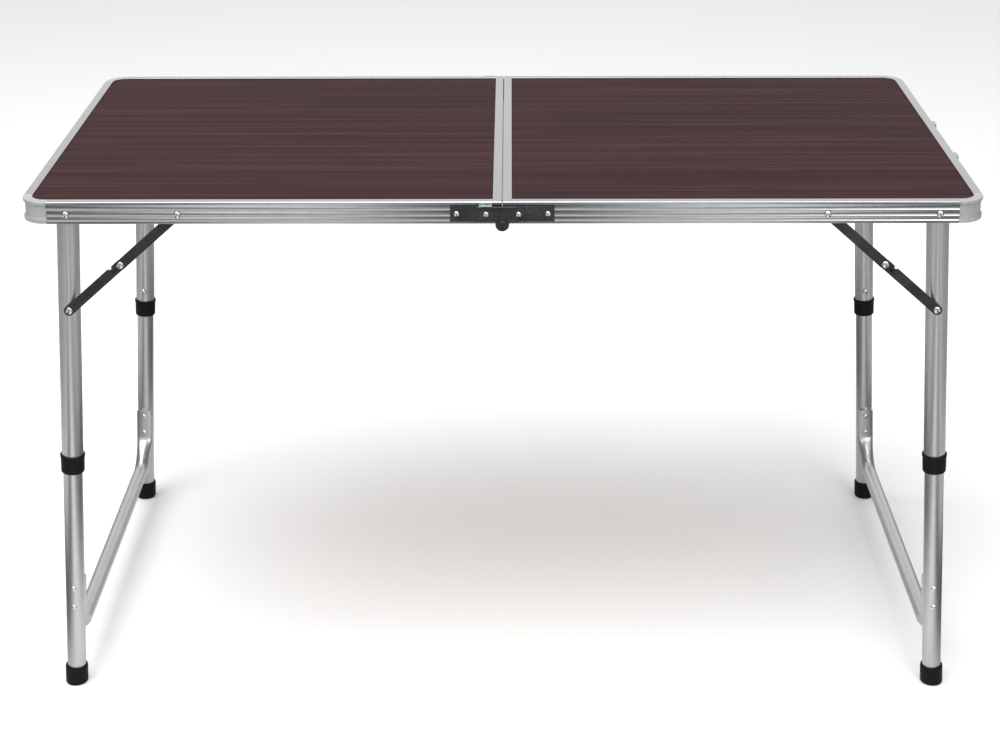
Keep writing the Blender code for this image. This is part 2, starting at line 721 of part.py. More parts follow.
def upper_stay():
    """Upper stay link about its rail pivot, with that rivet and the knuckle rivet."""
    length, _, slope, _ = stay_geometry()
    lie = Matrix.Rotation(slope, 4, "Y")
    strip = moved(upright_slab(link_outline(0, length), STAY_THICKNESS, UPPER_STAY_Y), lie)
    outer = UPPER_STAY_Y + STAY_THICKNESS / 2
    inner = UPPER_STAY_Y - STAY_THICKNESS / 2
    head = HALF_DEPTH + GAP
    anchor = rivet([
        (RIVET_HEAD, head, head + HEAD_HEIGHT, True),
        (RIVET_RADIUS, UPPER_STAY_Y, head, False),
    ], (0, 0, 0))
    knuckle = rivet([
        (RIVET_HEAD, outer, outer + THIN_HEAD, True),
        (RIVET_RADIUS, inner - THIN_HEAD, outer, False),
    ], lie @ Vector((length, 0, 0)))
    return moved(combine(strip, [anchor, knuckle], "UNION"), Matrix.Translation((0, -LEG_Y, 0)))


def lower_stay():
    """Lower stay link about its leg pivot, with a lock notch beside the knuckle."""
    _, length, slope, _ = stay_geometry()
    lie = Matrix.Rotation(slope, 4, "Y")
    strip = upright_slab(link_outline(-length, 0), STAY_THICKNESS, LOWER_STAY_Y)
    notch = (STAY_NOTCH_OFFSET - length, LOWER_STAY_Y, STAY_WIDTH / 2)
    cutter = peg(STAY_NOTCH_RADIUS, -STAY_THICKNESS, STAY_THICKNESS, notch)
    strip = moved(combine(strip, [cutter], "DIFFERENCE"), lie)
    outer = LOWER_STAY_Y + STAY_THICKNESS / 2
    tail = TUBE_FACE_Y - UPPER_WALL + GAP
    anchor = rivet([
        (RIVET_HEAD, outer, outer + THIN_HEAD, True),
        (RIVET_RADIUS, tail, outer, False),
    ], (0, 0, 0))
    return moved(combine(strip, [anchor], "UNION"), Matrix.Translation((0, -LEG_Y, 0)))


# ---------------------------------------------------------------- centre hinge


def ear_outline(start, stop, rounded_stop):
    """Leaf outline in (x, -drop), with a round ear that reaches below it at x = 0."""
    top = -LEAF_TOP
    bottom = -LEAF_BOTTOM
    rise = HINGE_DROP - LEAF_BOTTOM + EAR_RELIEF
    angle = atan2(rise, (EAR_RADIUS ** 2 - rise ** 2) ** 0.5)
    ear = arc((0, -HINGE_DROP), EAR_RADIUS, pi - angle, 2 * pi + angle, 10)
    if rounded_stop:
        radius = (LEAF_BOTTOM - LEAF_TOP) / 2
        nose = arc((stop - radius, (top + bottom) / 2), radius, -pi / 2, pi / 2, 6)
    else:
        nose = [(stop, bottom), (stop, top)]
    return [(start, bottom)] + ear + nose + [(start, top)]


def pin_hole(middle):
    reach = 2 * LEAF_THICKNESS
    return peg(RIVET_RADIUS + PIN_CLEARANCE, -reach, reach, (0, middle, -HINGE_DROP))


def leaf_rivet(x, face):
    stages = [(LEAF_RIVET_HEAD, face, face + HEAD_HEIGHT, True),
              (LEAF_RIVET_HEAD, face - LEAF_THICKNESS / 2, face, False)]
    return rivet(stages, (x, 0, -LEAF_RIVET_DROP))


def stud_leaf():
    """Right leaf: flat plate with the hinge ear, two rivets, the inner one a lock stud."""
    middle = LEAF_Y + LEAF_THICKNESS / 2
    plate = upright_slab(ear_outline(-EAR_RADIUS, LEAF_END, False), LEAF_THICKNESS, middle)
    beside = box((-2 * EAR_RADIUS, LEAF_Y - GAP, -LEAF_BOTTOM), (FOLD_GAP, RAISED_Y, 0))
    plate = combine(plate, [pin_hole(middle), beside], "DIFFERENCE")
    far, near = LEAF_RIVETS
    front = RAISED_Y + LEAF_THICKNESS + GAP
    stud = rivet([
        (LEAF_RIVET_HEAD, front, front + HEAD_HEIGHT, True),
        (RIVET_RADIUS, LEAF_Y + LEAF_THICKNESS / 2, front, False),
    ], (near, 0, -LEAF_RIVET_DROP))
    return combine(plate, [leaf_rivet(far, LEAF_Y + LEAF_THICKNESS), stud], "UNION")


def hook_leaf():
    """Left leaf, drawn with the fold at x = 0 and its own plate on the -x side.

    Its middle steps forward over the right leaf. A slot that follows the stud's arc about the
    hinge pin leaves the stud free to swing down, and a rim stiffens the top edge.
    """
    middle = LEAF_Y + LEAF_THICKNESS / 2
    raised_middle = RAISED_Y + LEAF_THICKNESS / 2
    raised_start = -RAISED_START - LEAF_THICKNESS
    plate = upright_slab([(-LEAF_END, -LEAF_BOTTOM), (-RAISED_START, -LEAF_BOTTOM),
                          (-RAISED_START, -LEAF_TOP), (-LEAF_END, -LEAF_TOP)], LEAF_THICKNESS, middle)
    step = box((raised_start + GAP, middle, -LEAF_BOTTOM + GAP),
               (-RAISED_START - GAP, raised_middle, -LEAF_TOP - GAP))
    raised = upright_slab(ear_outline(raised_start, RAISED_END, True), LEAF_THICKNESS, raised_middle)
    rim_end = RAISED_END - (LEAF_BOTTOM - LEAF_TOP) / 2
    rim = box((raised_start + GAP, raised_middle, -LEAF_TOP - GAP - RIM_THICKNESS),
              (rim_end, RAISED_Y + LEAF_THICKNESS + RIM_DEPTH, -LEAF_TOP - GAP))
    plate = combine(plate, [step, raised, rim], "UNION")
    plate = combine(plate, [pin_hole(raised_middle), stud_slot(raised_middle)], "DIFFERENCE")
    far, near = LEAF_RIVETS
    return combine(plate, [leaf_rivet(-far, LEAF_Y + LEAF_THICKNESS),
                           leaf_rivet(-near, RAISED_Y + LEAF_THICKNESS)], "UNION")


def stud_slot(middle):
    """Cutter for the stud's path: a band of constant width along its arc about the hinge pin."""
    x = LEAF_RIVETS[1]
    rise = HINGE_DROP - LEAF_RIVET_DROP
    reach = hypot(x, rise)
    angle = atan2(rise, x)
    half = RIVET_RADIUS + PIN_CLEARANCE
    outer = arc((0, -HINGE_DROP), reach + half, SLOT_OPEN_ANGLE, angle, 8)
    cap = arc((x, -LEAF_RIVET_DROP), half, angle, angle + pi, 8)
    inner = arc((0, -HINGE_DROP), reach - half, angle, SLOT_OPEN_ANGLE, 8)
    return upright_slab(outer + cap[1:-1] + inner, 3 * LEAF_THICKNESS, middle)


def hinge_pin():
    """Cross-head hinge screw through both ears, flush at the back."""
    front = RAISED_Y + LEAF_THICKNESS + GAP
    pin = rivet([
        (SCREW_HEAD, front, front + HEAD_HEIGHT, True),
        (RIVET_RADIUS, LEAF_Y + GAP, front, False),
    ], (0, 0, 0))
    crown = front + HEAD_HEIGHT
    slot = RIVET_RADIUS
    thin = RIVET_RADIUS / 5
    cross = [box((-slot, crown - THIN_HEAD, -thin), (slot, crown + THIN_HEAD, thin)),
             box((-thin, crown - THIN_HEAD, -slot), (thin, crown + THIN_HEAD, slot))]
    return combine(pin, cross, "DIFFERENCE")


def hinge_tab():
    """Zinc angle on the raised leaf's top edge, its upright wing beside the rail."""
    low = -LEAF_TOP + GAP
    front = RAISED_Y + LEAF_THICKNESS
    outline = [
        (RAISED_Y, low),
        (front + RIM_DEPTH, low),
        (front + RIM_DEPTH, low + TAB_THICKNESS),
        (front, low + TAB_THICKNESS),
        (front, low + TAB_HEIGHT),
        (RAISED_Y, low + TAB_HEIGHT),
    ]
    lie = Matrix(((0, 0, 1, -TAB_START - TAB_LENGTH / 2), (1, 0, 0, 0), (0, 1, 0, 0), (0, 0, 0, 1)))
    return moved(slab(outline, TAB_LENGTH), lie)


# ---------------------------------------------------------------- carry handle


def handle():
    """Bail handle about its swing axis, hanging down, with its ends in the two brackets."""
    out = HANDLE_SPACING / 2 + BRACKET_WIDTH / 4
    side = HANDLE_SPACING / 2 - BRACKET_WIDTH / 2 - GAP - HANDLE_BEND
    shoulder = arc((side + HANDLE_BEND, -HANDLE_BEND), HANDLE_BEND, pi / 2, pi, 4)
    corner = arc((side - HANDLE_BEND, -HANDLE_DROP + HANDLE_BEND), HANDLE_BEND, 0, -pi / 2, 4)
    half = [(out, 0.0)] + shoulder + corner
    other = [(-y, z) for y, z in reversed(half)]
    return swept_tube([(0.0, y, z) for y, z in half + other], HANDLE_RADIUS, 2)


def handle_bracket():
    """Block on the end rail with a hole for the handle's end."""
    base = HALF_LENGTH + GAP
    low = (base, -BRACKET_WIDTH / 2, -BRACKET_HEIGHT / 2)
    high = (base + BRACKET_DEPTH, BRACKET_WIDTH / 2, BRACKET_HEIGHT / 2)
    block = box(low, high)
    place = (base + HANDLE_STANDOFF, 0, 0)
    cutter = peg(HANDLE_RADIUS + PIN_CLEARANCE, -BRACKET_WIDTH, BRACKET_WIDTH, place)
    return combine(block, [cutter], "DIFFERENCE")


# ---------------------------------------------------------------- assembly


def add_top(builder, label, side):
    builder.place(f"{label}_panel", panel(), WOOD_BOARD, side=side)
    builder.place(f"{label}_end_rail", end_rail(), ALUMINIUM, side=side)
    builder.place(f"{label}_centre_rail", centre_rail(), ALUMINIUM, side=side)
    for edge, end in (("front", -1), ("rear", 1)):
        builder.place(f"{label}_{edge}_rail", side_rail(), ALUMINIUM, side=side, end=end)
        builder.place(f"{label}_{edge}_corner_cap", corner_cap(), GREY_PLASTIC, side=side, end=end)


def add_leg(builder, label, side, end):
    """One leg with its pin, collar, foot, snap button and stay."""
    pivot = (LEG_PIVOT_X, LEG_Y, PIVOT_Z)
    leg = {"side": side, "end": end, "origin": pivot, "tilt": LEG_SPLAY}
    builder.place(f"{label}_leg_pin", leg_pin(), BRIGHT_STEEL, side=side, end=end, origin=pivot)
    builder.place(f"{label}_upper_tube", upper_tube(), ALUMINIUM, **leg)
    builder.place(f"{label}_lower_tube", lower_tube(), ALUMINIUM, **leg)
    builder.place(f"{label}_collar", collar(), BLACK_PLASTIC, **leg)
    builder.place(f"{label}_foot", foot(), BLACK_PLASTIC, **leg)
    tilt = Matrix.Rotation(-LEG_SPLAY, 4, "Y")
    button_place = Vector(pivot) + tilt @ Vector((LEG_OFFSET, 0, -BUTTON_REACH))
    builder.place(f"{label}_snap_button", snap_button(), BRIGHT_STEEL, origin=button_place,
                  side=side, end=end, tilt=LEG_SPLAY)
    _, _, _, anchor = stay_geometry()
    rail_end = (STAY_PIVOT_X, LEG_Y, PIVOT_Z)
    leg_end = (LEG_PIVOT_X + anchor[0], LEG_Y, PIVOT_Z + anchor[1])
    builder.place(f"{label}_upper_stay", upper_stay(), BLACK_STEEL, origin=rail_end, side=side, end=end)
    builder.place(f"{label}_lower_stay", lower_stay(), BLACK_STEEL, origin=leg_end, side=side, end=end)


def add_hinges(builder):
    top = (0, 0, TABLE_HEIGHT)
    for edge, end in (("front", -1), ("rear", 1)):
        builder.place(f"right_{edge}_hinge_leaf", stud_leaf(), BLACK_STEEL, origin=top, end=end)
        builder.place(f"left_{edge}_hinge_leaf", hook_leaf(), BLACK_STEEL, origin=top, end=end)
        builder.place(f"{edge}_hinge_tab", hinge_tab(), ZINC_STEEL, origin=top, end=end)
        builder.place(f"{edge}_hinge_pin", hinge_pin(), BRIGHT_STEEL, end=end,
                      origin=(0, 0, TABLE_HEIGHT - HINGE_DROP))


def add_handle(builder):
    height = TABLE_HEIGHT - HANDLE_PIVOT_DROP
    axis = (HALF_LENGTH + GAP + HANDLE_STANDOFF, 0, height)
    builder.place("carry_handle", handle(), BLACK_PLASTIC, origin=axis)
    for edge, end in (("front", -1), ("rear", 1)):
        builder.place(f"{edge}_handle_bracket", handle_bracket(), GREY_PLASTIC,
                      origin=(0, HANDLE_SPACING / 2, height), end=end)


def main():
    clear_scene()
    builder = Builder(new_collection("folding_camping_table"))
    for label, side in (("left", -1), ("right", 1)):
        add_top(builder, label, side)
        for edge, end in (("front", -1), ("rear", 1)):
            add_leg(builder, f"{label}_{edge}", side, end)
        builder.place(f"{label}_crossbar", crossbar(), ALUMINIUM, origin=(LEG_PIVOT_X, 0, PIVOT_Z),
                      side=side, tilt=LEG_SPLAY)
    add_hinges(builder)
    add_handle(builder)
    bpy.context.view_layer.update()


main()
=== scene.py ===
"""Finished look of a folding picnic table, laid out as a Blender add-on and run as a script.

Units are metres. X runs along the table to the end with the carry handle, Y to the rear edge, Z up.
Shapes are worked out once for the rear right quarter, as grids of points, and mirrored to the rest.
"""

import json
from math import atan2, cos, hypot, pi, radians, sin, sqrt

import bmesh
import bpy
import numpy as np
from bpy.props import FloatProperty, FloatVectorProperty, IntProperty, PointerProperty
from mathutils import Matrix, Vector


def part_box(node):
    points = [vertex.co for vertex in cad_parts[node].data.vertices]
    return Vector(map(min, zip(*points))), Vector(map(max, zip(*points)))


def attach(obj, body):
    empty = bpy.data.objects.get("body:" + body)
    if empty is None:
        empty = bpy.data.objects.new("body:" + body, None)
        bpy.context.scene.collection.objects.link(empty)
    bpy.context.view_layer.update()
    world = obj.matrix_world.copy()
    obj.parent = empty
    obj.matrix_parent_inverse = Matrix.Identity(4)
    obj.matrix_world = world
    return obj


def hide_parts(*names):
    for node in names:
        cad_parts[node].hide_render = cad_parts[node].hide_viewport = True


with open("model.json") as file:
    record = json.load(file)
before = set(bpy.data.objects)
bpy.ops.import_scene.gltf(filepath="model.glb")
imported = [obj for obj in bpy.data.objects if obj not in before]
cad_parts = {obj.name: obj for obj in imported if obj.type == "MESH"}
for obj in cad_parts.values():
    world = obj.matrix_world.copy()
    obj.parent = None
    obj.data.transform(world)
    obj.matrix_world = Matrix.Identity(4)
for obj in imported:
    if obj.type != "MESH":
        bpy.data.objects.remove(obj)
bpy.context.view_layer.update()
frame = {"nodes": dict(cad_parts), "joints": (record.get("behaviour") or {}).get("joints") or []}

bl_info = {
    "name": "Folding Picnic Table",
    "version": (1, 0, 0),
    "blender": (4, 5, 0),
    "location": "3D View > Sidebar > Table",
    "description": "Builds the finished surfaces and materials of a folding picnic table",
    "category": "Add Mesh",
}

SIDES = (("left", -1), ("right", 1))
EDGES = (("front", -1), ("rear", 1))

# Places read from the frame
JOINTS = {joint["name"]: joint for joint in frame["joints"]}
TUBE_LOW, TUBE_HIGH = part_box("right_rear_upper_tube")
RAIL_LOW, RAIL_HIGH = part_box("right_rear_rail")
LEAF_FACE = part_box("right_rear_hinge_leaf")[1].y
BOARD_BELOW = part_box("right_panel")[0].z
TABLE_HEIGHT = RAIL_HIGH.z
HALF_DEPTH = RAIL_HIGH.y
HALF_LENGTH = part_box("right_end_rail")[1].x
PIVOT_X, _, PIVOT_Z = JOINTS["right_leg_fold"]["pos_m"]
STAY_X = JOINTS["right_upper_stay_turn"]["pos_m"][0]
ANCHOR_X, _, ANCHOR_Z = JOINTS["right_lower_stay_turn"]["pos_m"]
FOLD_Z = JOINTS["centre_fold"]["pos_m"][2]
HANDLE_X, _, HANDLE_Z = JOINTS["handle_swing"]["pos_m"]
SPLAY_LINE = JOINTS["right_leg_slide"]["axis"]
SPLAY = atan2(-SPLAY_LINE[0], SPLAY_LINE[2])
LEG_Y = (TUBE_LOW.y + TUBE_HIGH.y) / 2
UPPER_RADIUS = (TUBE_HIGH.y - TUBE_LOW.y) / 2

# Clearances and roundings
GAP = 0.0003
MERGE = 0.000002
EDGE = 0.0004             # rounding of a cut tube or sheet edge
LINK_BEND_STEPS = 18
LINK_RUN_STEPS = 80
CUT_SOFTNESS = 0.00015    # width over which the screw's cross cut falls away
SUPPORT = 1.25            # where the flat beside a rounding starts, as a share of its radius
RIM_EDGE = 0.0003
SHARP_ANGLE = radians(35)
BEVEL_ANGLE = radians(40)
SHEET_BEVEL = 0.0002
BRACKET_BEVEL = 0.0008

# Edge rails: u runs inwards from the outer face, drops run down from the top
FRAME_HEIGHT = TABLE_HEIGHT - RAIL_LOW.z
RAIL_WALL = 0.0020
RAIL_EDGE = 0.0014
FLUTE_DEPTH = 0.0006
FLUTES = ((0.0042, 0.0108), (0.0120, 0.0187), (0.0199, 0.0251))
LIP_WIDTH = 0.0115
LIP_THICKNESS = 0.0008
LEDGE_WIDTH = 0.0080
LEDGE_THICKNESS = 0.0010
LEDGE_DROP = 0.0039
FOLD_GAP = 0.0006

# Corner caps
CORNER_RADIUS = 0.030
CAP_REACH = 0.034
CAP_RECESS = 0.0022
CAP_WALL = 0.0014
CAP_TOP_BAND = 0.0045
CAP_BOTTOM_BAND = 0.0060

# Legs; reaches run down the leg from its pivot
LEG_OFFSET = 0.0011
UPPER_WALL = 0.0012
LOWER_RADIUS = 0.0125
LOWER_WALL = 0.0010
TUBE_TOP = 0.0105
UPPER_LENGTH = 0.3600
TUBE_OVERLAP = 0.1800
COLLAR_HEIGHT = 0.0255
COLLAR_WALL = 0.0012
COLLAR_FLARE = 0.0007
COLLAR_LIP = 0.0030
COLLAR_SHOULDER = 1.7     # where the flare ends, as a share of the lip
FOOT_HEIGHT = 0.0275
FOOT_WALL = 0.0023
FOOT_SOLE = 0.0085
FOOT_CHAMFER = 0.0020
BUTTON_REACH = 0.3210
BUTTON_RADIUS = 0.0042
BUTTON_PROUD = 0.0025
BUTTON_FLANGE = 0.0055
BUTTON_FLANGE_THICKNESS = 0.0010

# Crossbars
BAR_RADIUS = 0.0105
BAR_HEIGHT = 0.0680
BAR_END_HEIGHT = 0.1600
BAR_BEND = 0.0350
BAR_FLAT = 0.34
BAR_SPREAD = 1.15
BAR_FLAT_LENGTH = 0.0720
BAR_BLEND_LENGTH = 0.0260
BAR_BITE = 0.0030
BAR_CORNER = 0.0040
BAR_RIVETS = (0.0105, 0.0385)

# Stays
STAY_WIDTH = 0.0130
STAY_THICKNESS = 0.0012
STAY_RIM = 0.0017
STAY_RECESS = 0.00035
NOTCH_RADIUS = 0.0026
NOTCH_OFFSET = 0.0135
DIMPLE_OFFSET = 0.0200
DIMPLE_RADIUS = 0.0016
DIMPLE_DEPTH = 0.0004

# Rivets
SHANK_RADIUS = 0.0024
HEAD_RADIUS = 0.0045
HEAD_HEIGHT = 0.0016
THIN_HEAD = 0.0008
SPACER_RADIUS = 0.0055

# Centre hinge
LEAF_THICKNESS = 0.0015
LEAF_RIVETS = (0.0567, 0.0202)
LEAF_RIVET_DROP = 0.0152
LEAF_RIVET_HEAD = 0.0035
SCREW_HEAD = 0.0050
CROSS_LENGTH = 0.0026
CROSS_WIDTH = 0.0006
CROSS_DEPTH = 0.0009

# Carry handle
HANDLE_SPACING = 0.150
HANDLE_RADIUS = 0.0035
HANDLE_DROP = 0.0320
HANDLE_BEND = 0.0080
BRACKET_WIDTH = 0.0160

# Camera and light
CAMERA_PLACE = (0.01129, -2.63331, 1.48262)
CAMERA_PITCH = 0.372945
CAMERA_YAW = 0.006194
CAMERA_ROLL = -0.003192
CAMERA_LENS = 71.57
CAMERA_SHIFT = -0.075
STRIPE_SPACING = 0.88
STRIPE_PLACE = 0.46
STRIPE_DARK = 0.03
STRIPE_LIGHT = 0.85
KEY_LIGHT = ((-0.6, -0.9, 3.2), (0.0, 0.1, 0.4), 3.2)     # place, aim and size
FILL_LIGHT = ((1.8, -3.2, 1.9), (0.0, 0.0, 0.5), 2.0)
SIDE_BANDS = {"From_Min": 0.35, "From_Max": 0.80, "To_Min": 1.0, "To_Max": 0.25}
BOARD_DARK = (0.21, 0.13, 0.075)                         # plain board under the laminate
BOARD_LIGHT = (0.30, 0.20, 0.125)


# ---- sizes and colours a user may change


def colour_property(name, about, value):
    return FloatVectorProperty(
        name=name, description="Colour of " + about, subtype="COLOR", default=value, min=0.0, max=1.0)


class TableLooks(bpy.types.PropertyGroup):
    """Colours and fineness of the table's surfaces."""

    wood_dark: colour_property("Wood Dark", "the boards' dark streaks", (0.0085, 0.0030, 0.0033))
    wood_light: colour_property("Wood Light", "the boards' light streaks", (0.064, 0.0265, 0.0285))
    aluminium: colour_property("Aluminium", "rails and tubes", (0.60, 0.605, 0.615))
    cap_grey: colour_property("Cap Grey", "the corner caps and handle brackets", (0.26, 0.265, 0.262))
    black: colour_property("Black", "collars, feet and handle", (0.006, 0.006, 0.0065))
    steel_black: colour_property("Steel Black", "the coated stays and hinges", (0.014, 0.014, 0.0155))
    nickel: colour_property("Nickel", "rivets and buttons", (0.66, 0.65, 0.63))
    zinc: colour_property("Zinc", "the hinge tabs", (0.50, 0.60, 0.57))
    floor: colour_property("Floor", "the floor", (0.86, 0.86, 0.86))
    tube_sides: IntProperty(
        name="Tube Sides", description="Faces round a leg tube", default=72, min=24, max=160)
    rivet_sides: IntProperty(
        name="Rivet Sides", description="Faces round a rivet head", default=40, min=16, max=96)
    round_steps: IntProperty(
        name="Rounding Steps", description="Points along each rounded edge", default=5, min=2, max=12)
    key_power: FloatProperty(
        name="Key Light", description="Power of the large overhead light", unit="POWER",
        default=150.0, min=0.0)
    fill_power: FloatProperty(
        name="Fill Light", description="Power of the light beside the camera", unit="POWER",
        default=30.0, min=0.0)


def looks():
    return bpy.context.scene.table_looks


# ---- surfaces


def rounded(corners, radii, closed=True):
    """Polyline with rounded corners.

    Each corner C becomes the curve (1-t)^2 A + 2t(1-t) C + t^2 B, where A and B lie at the corner's
    radius along its two sides, with one more point on each side to hold the flat beside it.
    """
    points = np.array(corners, float)
    size = np.array(radii, float)[:, None]
    before = np.roll(points, 1, axis=0) - points
    after = np.roll(points, -1, axis=0) - points
    before /= np.linalg.norm(before, axis=1, keepdims=True) + 1e-12
    after /= np.linalg.norm(after, axis=1, keepdims=True) + 1e-12
    t = np.linspace(0.0, 1.0, looks().round_steps + 1)[None, :, None]
    start = (points + before * size)[:, None]
    stop = (points + after * size)[:, None]
    curve = (1 - t) ** 2 * start + 2 * t * (1 - t) * points[:, None] + t ** 2 * stop
    lead = (points + before * size * SUPPORT)[:, None]
    tail = (points + after * size * SUPPORT)[:, None]
    curve = np.concatenate([lead, curve, tail], axis=1)
    if closed:
        return curve.reshape(-1, 2)
    return np.concatenate([points[:1], curve[1:-1].reshape(-1, 2), points[-1:]])


def turned(profile, sides, ring=False):
    """Surface of revolution about Z: (r cos a, r sin a, z) over a profile of (r, z) points."""
    angle = np.linspace(0.0, 2 * pi, sides, endpoint=False)
    r, z = np.array(profile, float).T
    points = np.stack([np.outer(r, np.cos(angle)), np.outer(r, np.sin(angle)),
                       np.repeat(z[:, None], sides, axis=1)], axis=-1)
    return {"points": points, "wrap_rows": ring, "wrap_columns": True, "capped": False}


def carried(points):
    """Closed section carried along stations, with a face over each end."""
    return {"points": points, "wrap_rows": False, "wrap_columns": True, "capped": True}


def dome(radius, base, height, steps=10):
    """Quarter ellipse (R sin a, base + h cos a) from a head's crown to its rim."""
    angle = np.linspace(0.0, pi / 2, steps)
    return np.stack([radius * np.sin(angle), base + height * np.cos(angle)], axis=-1)


def rivet(stages):
    """Turned rivet from (radius, low, high, domed) stages, outermost first, as rows of (r, z)."""
    profile = np.concatenate([
        dome(radius, low, high - low) if domed else [(radius, high), (radius, low)]
        for radius, low, high, domed in stages])
    if profile[0, 0] > 0:
        profile = np.concatenate([[(0.0, profile[0, 1])], profile])
    profile = np.concatenate([profile, [(0.0, profile[-1, 1])]])
    return turned(profile, looks().rivet_sides)


def along_y(shell, place=(0.0, 0.0, 0.0)):
    """Turns Z to Y, (x, y, z) to (x, z, -y), then moves to a place."""
    x, y, z = np.moveaxis(shell["points"], -1, 0)
    return {**shell, "points": np.stack([x, z, -y], axis=-1) + np.array(place)}


def sloped(shell, slope, place):
    """Turn by the slope about Y, x cos s + z sin s and z cos s - x sin s, then a move."""
    x, y, z = np.moveaxis(shell["points"], -1, 0)
    out = np.stack([x * cos(slope) + z * sin(slope), y, z * cos(slope) - x * sin(slope)], axis=-1)
    return {**shell, "points": out + np.array(place)}


def on_leg(shell):
    """Shell about a leg's axis, leaned and set at the rear leg's depth."""
    return shifted(leaning(shell), (0, LEG_Y, 0))


def shifted(shell, place):
    return {**shell, "points": shell["points"] + np.array(place)}


def leaning(shell):
    """Leg frame to table frame: a turn by the splay, then the pivot's place."""
    return sloped(shell, -SPLAY, (PIVOT_X, 0.0, PIVOT_Z))


def distances(points, axis):
    """Mean length walked along one direction of a grid."""
    step = np.linalg.norm(np.diff(points, axis=axis), axis=-1).mean(axis=1 - axis)
    return np.concatenate([[0.0], np.cumsum(step)])


def grid_cells(shell, first):
    """Faces and their texture places.

    Cell (i, j) joins points (i, j), (i+1, j), (i+1, j+1) and (i, j+1). A wrapped direction joins its
    last row to its first. U is the length walked along a column of the grid and V along a row.
    """
    points = shell["points"]
    rows, columns = points.shape[:2]
    i, j = np.meshgrid(np.arange(rows - (not shell["wrap_rows"])),
                       np.arange(columns - (not shell["wrap_columns"])), indexing="ij")
    i, j = i.ravel(), j.ravel()
    corners = [(i, j), (i + 1, j), (i + 1, j + 1), (i, j + 1)]
    faces = np.stack([first + (a % rows) * columns + b % columns for a, b in corners], axis=-1)
    looped = points
    if shell["wrap_rows"]:
        looped = np.concatenate([looped, looped[:1]], axis=0)
    if shell["wrap_columns"]:
        looped = np.concatenate([looped, looped[:, :1]], axis=1)
    u, v = distances(looped, 0), distances(looped, 1)
    places = np.stack([np.stack([u[a], v[b]], axis=-1) for a, b in corners], axis=1)
    return faces.tolist(), places.reshape(-1, 2)


def end_cells(shell, first):
    """A face over each end of a carried section, textured by its own place."""
    rows, columns = shell["points"].shape[:2]
    low = list(range(first, first + columns))
    high = [first + (rows - 1) * columns + k for k in range(columns)]
    return [low[::-1], high], np.zeros((2 * columns, 2))


def mesh_of(name, shells):
    """One mesh from several grids, with doubles merged and every face turned outwards."""
    points, faces, places, first = [], [], [], 0
    for shell in shells:
        for cells_of in (grid_cells, end_cells) if shell["capped"] else (grid_cells,):
            cells, uv = cells_of(shell, first)
            faces += cells
            places.append(uv)
        flat = shell["points"].reshape(-1, 3)
        points.append(flat)
        first += len(flat)
    mesh = bpy.data.meshes.new(name)
    mesh.from_pydata(np.concatenate(points), [], faces)
    layer = mesh.uv_layers.new(name="UVMap")
    layer.data.foreach_set("uv", np.concatenate(places).astype(np.float32).ravel())
    tidy_mesh(mesh)
    return mesh


def tidy_mesh(mesh):
    """Merges doubles and turns the faces outwards."""
    shape = bmesh.new()
    shape.from_mesh(mesh)
    bmesh.ops.remove_doubles(shape, verts=shape.verts, dist=MERGE)
    bmesh.ops.recalc_face_normals(shape, faces=shape.faces)
    shape.to_mesh(mesh)
    shape.free()


def add_piece(name, shells, body, slot, nodes=(), side=1, end=1):
    """Object from grids of the rear right quarter, mirrored by (side x, end y, z), riding on a body."""
    turned_out = [{**shell, "points": shell["points"] * np.array((side, end, 1.0))} for shell in shells]
    return finished(name, mesh_of(name, turned_out), body, slot, nodes)


def finished(name, mesh, body, slot, nodes=()):
    """Object for a mesh, with its finish, its body and the nodes that it stands for."""
    mesh.materials.clear()
    mesh.materials.append(finish_of(slot))
    mesh.shade_smooth()
    mesh.set_sharp_from_angle(angle=SHARP_ANGLE)
    piece = bpy.data.objects.new(name, mesh)
    bpy.context.scene.collection.objects.link(piece)
    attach(piece, body)
    if nodes:
        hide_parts(*nodes)
    return piece


def add_at_corners(*kinds):
    """At each corner, a piece for each (kind, shells, body, slot); rivets stand for no node of theirs."""
    for label, side in SIDES:
        for edge, end in EDGES:
            for kind, shells, body, slot in kinds:
                node = f"{label}_{edge}_{kind}"
                extra = kind.endswith("_rivets")
                name, nodes = (node, ()) if extra else (f"{node}_look", (node,))
                add_piece(name, shells, body.format(side=label, edge=edge), slot, nodes, side, end)


def softened_copy(node, body, slot, width):
    """Copy of a frame node with its edges bevelled."""
    mesh = frame["nodes"][node].data.copy()
    tidy_mesh(mesh)
    piece = finished(f"{node}_look", mesh, body, slot, (node,))
    bevel = piece.modifiers.new("soft edges", "BEVEL")
    bevel.width = width
    bevel.segments = 2
    bevel.limit_method = "ANGLE"
    bevel.angle_limit = BEVEL_ANGLE


# ---- materials


def new_group(name, inputs, outputs):
    """Shader group with named sockets; returns it with its two end nodes."""
    group = bpy.data.node_groups.new(name, "ShaderNodeTree")
    for label, kind, value in inputs:
        socket = group.interface.new_socket(label, in_out="INPUT", socket_type=kind)
        if value is not None:
            socket.default_value = value
    for label, kind in outputs:
        group.interface.new_socket(label, in_out="OUTPUT", socket_type=kind)
    return group, group.nodes.new("NodeGroupInput"), group.nodes.new("NodeGroupOutput")


def add_node(tree, kind, settings=None, **values):
    """Node with its settings, its socket values and its links. A value that is a socket is linked."""
    made = tree.nodes.new(kind)
    for key, value in (settings or {}).items():
        setattr(made, key, value)
    for key, value in values.items():
        name = int(key[1:]) if key[0] == "i" and key[1:].isdigit() else key.replace("_", " ")
        fill(tree, made.inputs[name], value)
    return made


def fill(tree, socket, value):
    """Links a socket to the one given, or sets its value."""
    if isinstance(value, bpy.types.NodeSocket):
        tree.links.new(value, socket)
    else:
        socket.default_value = value


